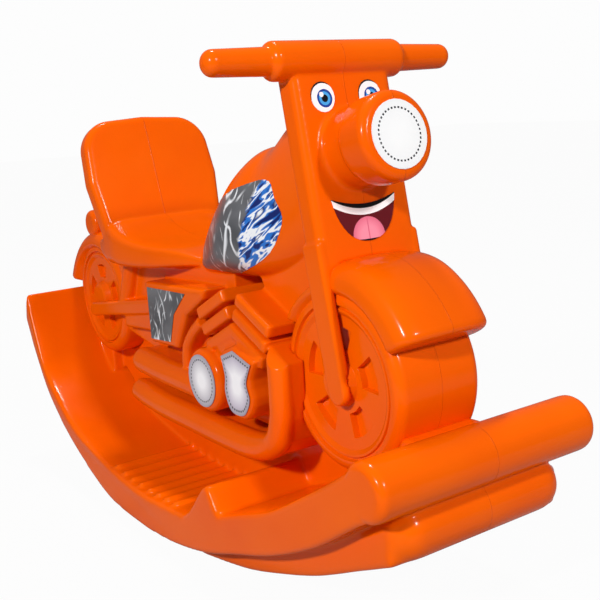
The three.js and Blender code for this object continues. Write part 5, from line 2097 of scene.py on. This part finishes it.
@dataclass
class Studio:
    """Camera, floor, lamps and world."""

    camera_at: Vector = field(default_factory=lambda: Vector((-0.608, -1.0459, 0.537)))
    azimuth: float = math.radians(-33.95)
    elevation: float = math.radians(11.55)
    roll: float = math.radians(3.49)
    lens: float = 57.6
    sensor: float = 36.0
    floor_half: float = 12.0
    floor_below: float = 0.2 * MM
    floor_grey: float = 0.4
    floor_roughness: float = 0.9
    floor_share: float = 0.965
    ambient: float = 0.17
    backdrop: float = 0.982
    aim: Point = (0, 0, 0.3)
    lamps: tuple[tuple[str, Point, float, float], ...] = (
        ("key", (-2.5, -1.3, 1.8), 0.2, 73),
        ("front", (0.2, -2.7, 1.8), 0.2, 37),
        ("top", (0.3, 0.6, 2.8), 0.3, 32),
    )

    def camera(self) -> None:
        """Makes the camera that looks as the photograph does."""
        data = bpy.data.cameras.new("camera")
        data.lens = self.lens
        data.sensor_width = self.sensor
        data.clip_end = 60
        camera = bpy.data.objects.new("camera", data)
        bpy.context.scene.collection.objects.link(camera)
        forward = Vector(
            (
                -math.sin(self.azimuth) * math.cos(self.elevation),
                math.cos(self.azimuth) * math.cos(self.elevation),
                -math.sin(self.elevation),
            )
        )
        turn = forward.to_track_quat("-Z", "Y").to_matrix() @ Matrix.Rotation(-self.roll, 3, "Z")
        camera.matrix_world = Matrix.Translation(self.camera_at) @ turn.to_4x4()
        bpy.context.scene.camera = camera

    def floor(self) -> None:
        """Makes the pale floor, white to the camera but for a light shadow."""
        bpy.ops.object.select_all(action="DESELECT")
        bpy.ops.mesh.primitive_plane_add(size=2 * self.floor_half, location=(0, 0, -self.floor_below))
        floor = bpy.context.active_object
        floor.name = "floor"
        sheet = NodeSheet("floor_white")
        sheet.dress((*(self.floor_grey,) * 3, 1), self.floor_roughness, 0.0)
        light = sheet.add("ShaderNodeEmission")
        path = sheet.add("ShaderNodeLightPath")
        seen = sheet.math("MAXIMUM", path.outputs["Is Camera Ray"], path.outputs["Is Transmission Ray"])
        mix = sheet.add("ShaderNodeMixShader")
        output = sheet.tree.nodes["Material Output"]
        sheet.wire(sheet.math("MULTIPLY", seen, self.floor_share), mix.inputs[0])
        sheet.wire(sheet.shader.outputs[0], mix.inputs[1])
        sheet.wire(light.outputs[0], mix.inputs[2])
        sheet.wire(mix.outputs[0], output.inputs["Surface"])
        floor.data.materials.append(sheet.material)

    def lamp(self, name: str, place: Point, size: float, power: float) -> None:
        """Makes a soft lamp that looks at the toy.

        Args:
            name: The lamp's name.
            place: Where it hangs.
            size: Its side.
            power: Its power in watts.
        """
        data = bpy.data.lights.new(name, "AREA")
        data.shape = "SQUARE"
        data.size = size
        data.energy = power
        lamp = bpy.data.objects.new(name, data)
        lamp.location = place
        aim = Vector(self.aim) - Vector(place)
        lamp.rotation_euler = aim.to_track_quat("-Z", "Y").to_euler()
        bpy.context.scene.collection.objects.link(lamp)

    def world(self) -> None:
        """Makes the even pale surroundings, white to the camera."""
        world = bpy.data.worlds.new("studio")
        world.use_nodes = True
        bpy.context.scene.world = world
        tree = world.node_tree
        background = tree.nodes["Background"]
        background.inputs["Color"].default_value = (1, 1, 1, 1)
        path = tree.nodes.new("ShaderNodeLightPath")
        span = tree.nodes.new("ShaderNodeMapRange")
        span.inputs["To Min"].default_value = self.ambient
        span.inputs["To Max"].default_value = self.backdrop
        tree.links.new(path.outputs["Is Camera Ray"], span.inputs["Value"])
        tree.links.new(span.outputs["Result"], background.inputs["Strength"])

    def build(self) -> None:
        """Builds the camera, the floor and the lights."""
        self.camera()
        self.floor()
        for lamp in self.lamps:
            self.lamp(*lamp)
        self.world()
        bpy.context.scene.view_settings.view_transform = "Standard"


def wheels() -> list[Wheel]:
    """The two wheels.

    Returns:
        The front wheel and the rear wheel.
    """
    return [
        Wheel("front_wheel", radius=96.0, half_width=54.0, axle=FRONT_AXLE),
        Wheel("rear_wheel", radius=86.0, half_width=46.0, axle=REAR_AXLE),
    ]


def fenders() -> list[Fender]:
    """The two fenders, their heights given from the front edge's side.

    Returns:
        The front fender and the rear fender.
    """
    front_shares = (0, 0, 0.04, 0.25, 0.68, 0.89, 1, 1, 1, 1)
    rear_shares = (1, 0.62, 0.33, 0.12, 0.03, 0, 0, 0, 0)
    return [
        Fender(
            "front_fender",
            half_width=59.0,
            inner_half_width=42.0,
            axle=FRONT_AXLE,
            start=33.0,
            end=152.0,
            crown=tuple(104 + 28 * share for share in front_shares),
            edge=tuple(98 + 2 * share for share in front_shares),
            inner=84.0,
        ),
        Fender(
            "rear_fender",
            half_width=52.0,
            inner_half_width=34.0,
            axle=REAR_AXLE,
            start=10.0,
            end=118.0,
            crown=tuple(104 + 15 * share for share in rear_shares),
            edge=tuple(84 + 15 * share for share in rear_shares),
            inner=74.0,
        ),
    ]


def main() -> None:
    """Builds the whole scene."""
    logging.basicConfig(level=logging.INFO, format="%(message)s")
    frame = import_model()
    Studio().build()
    plastic = MouldedPlastic().build()
    for piece in (*wheels(), *fenders()):
        piece.build(plastic)
    deck = RockerDeck(frame)
    deck.build()
    Mould("rocker", voxel=2.2, rounds=6, keep=0.34).build(deck.forms, plastic)
    body = Assembly(frame)
    for assembly in (SteeringHead(frame), Saddle(frame), Engine(frame)):
        assembly.build()
        body.forms.update(assembly.forms)
    body.add("tail_lamp", Bench.rolled("lamp", radius=21.0, half_length=48.0, edge=8.0, at=(352.0, 375.0)))
    shells = Mould("body", voxel=1.6, rounds=7, keep=0.4).build(body.forms, plastic)
    wisps = WispPrint().build()
    silver = FollowingPrint().build()
    for side in Side:
        TankFilm(side).build(frame, shells["fuel_tank"], wisps)
        CrankcaseFilm(side).build(silver)
    Prints().build(frame)
    dressed(frame["nodes"]["vent_plug"], PlugRubber().build())


if __name__ == "__main__":
    main()
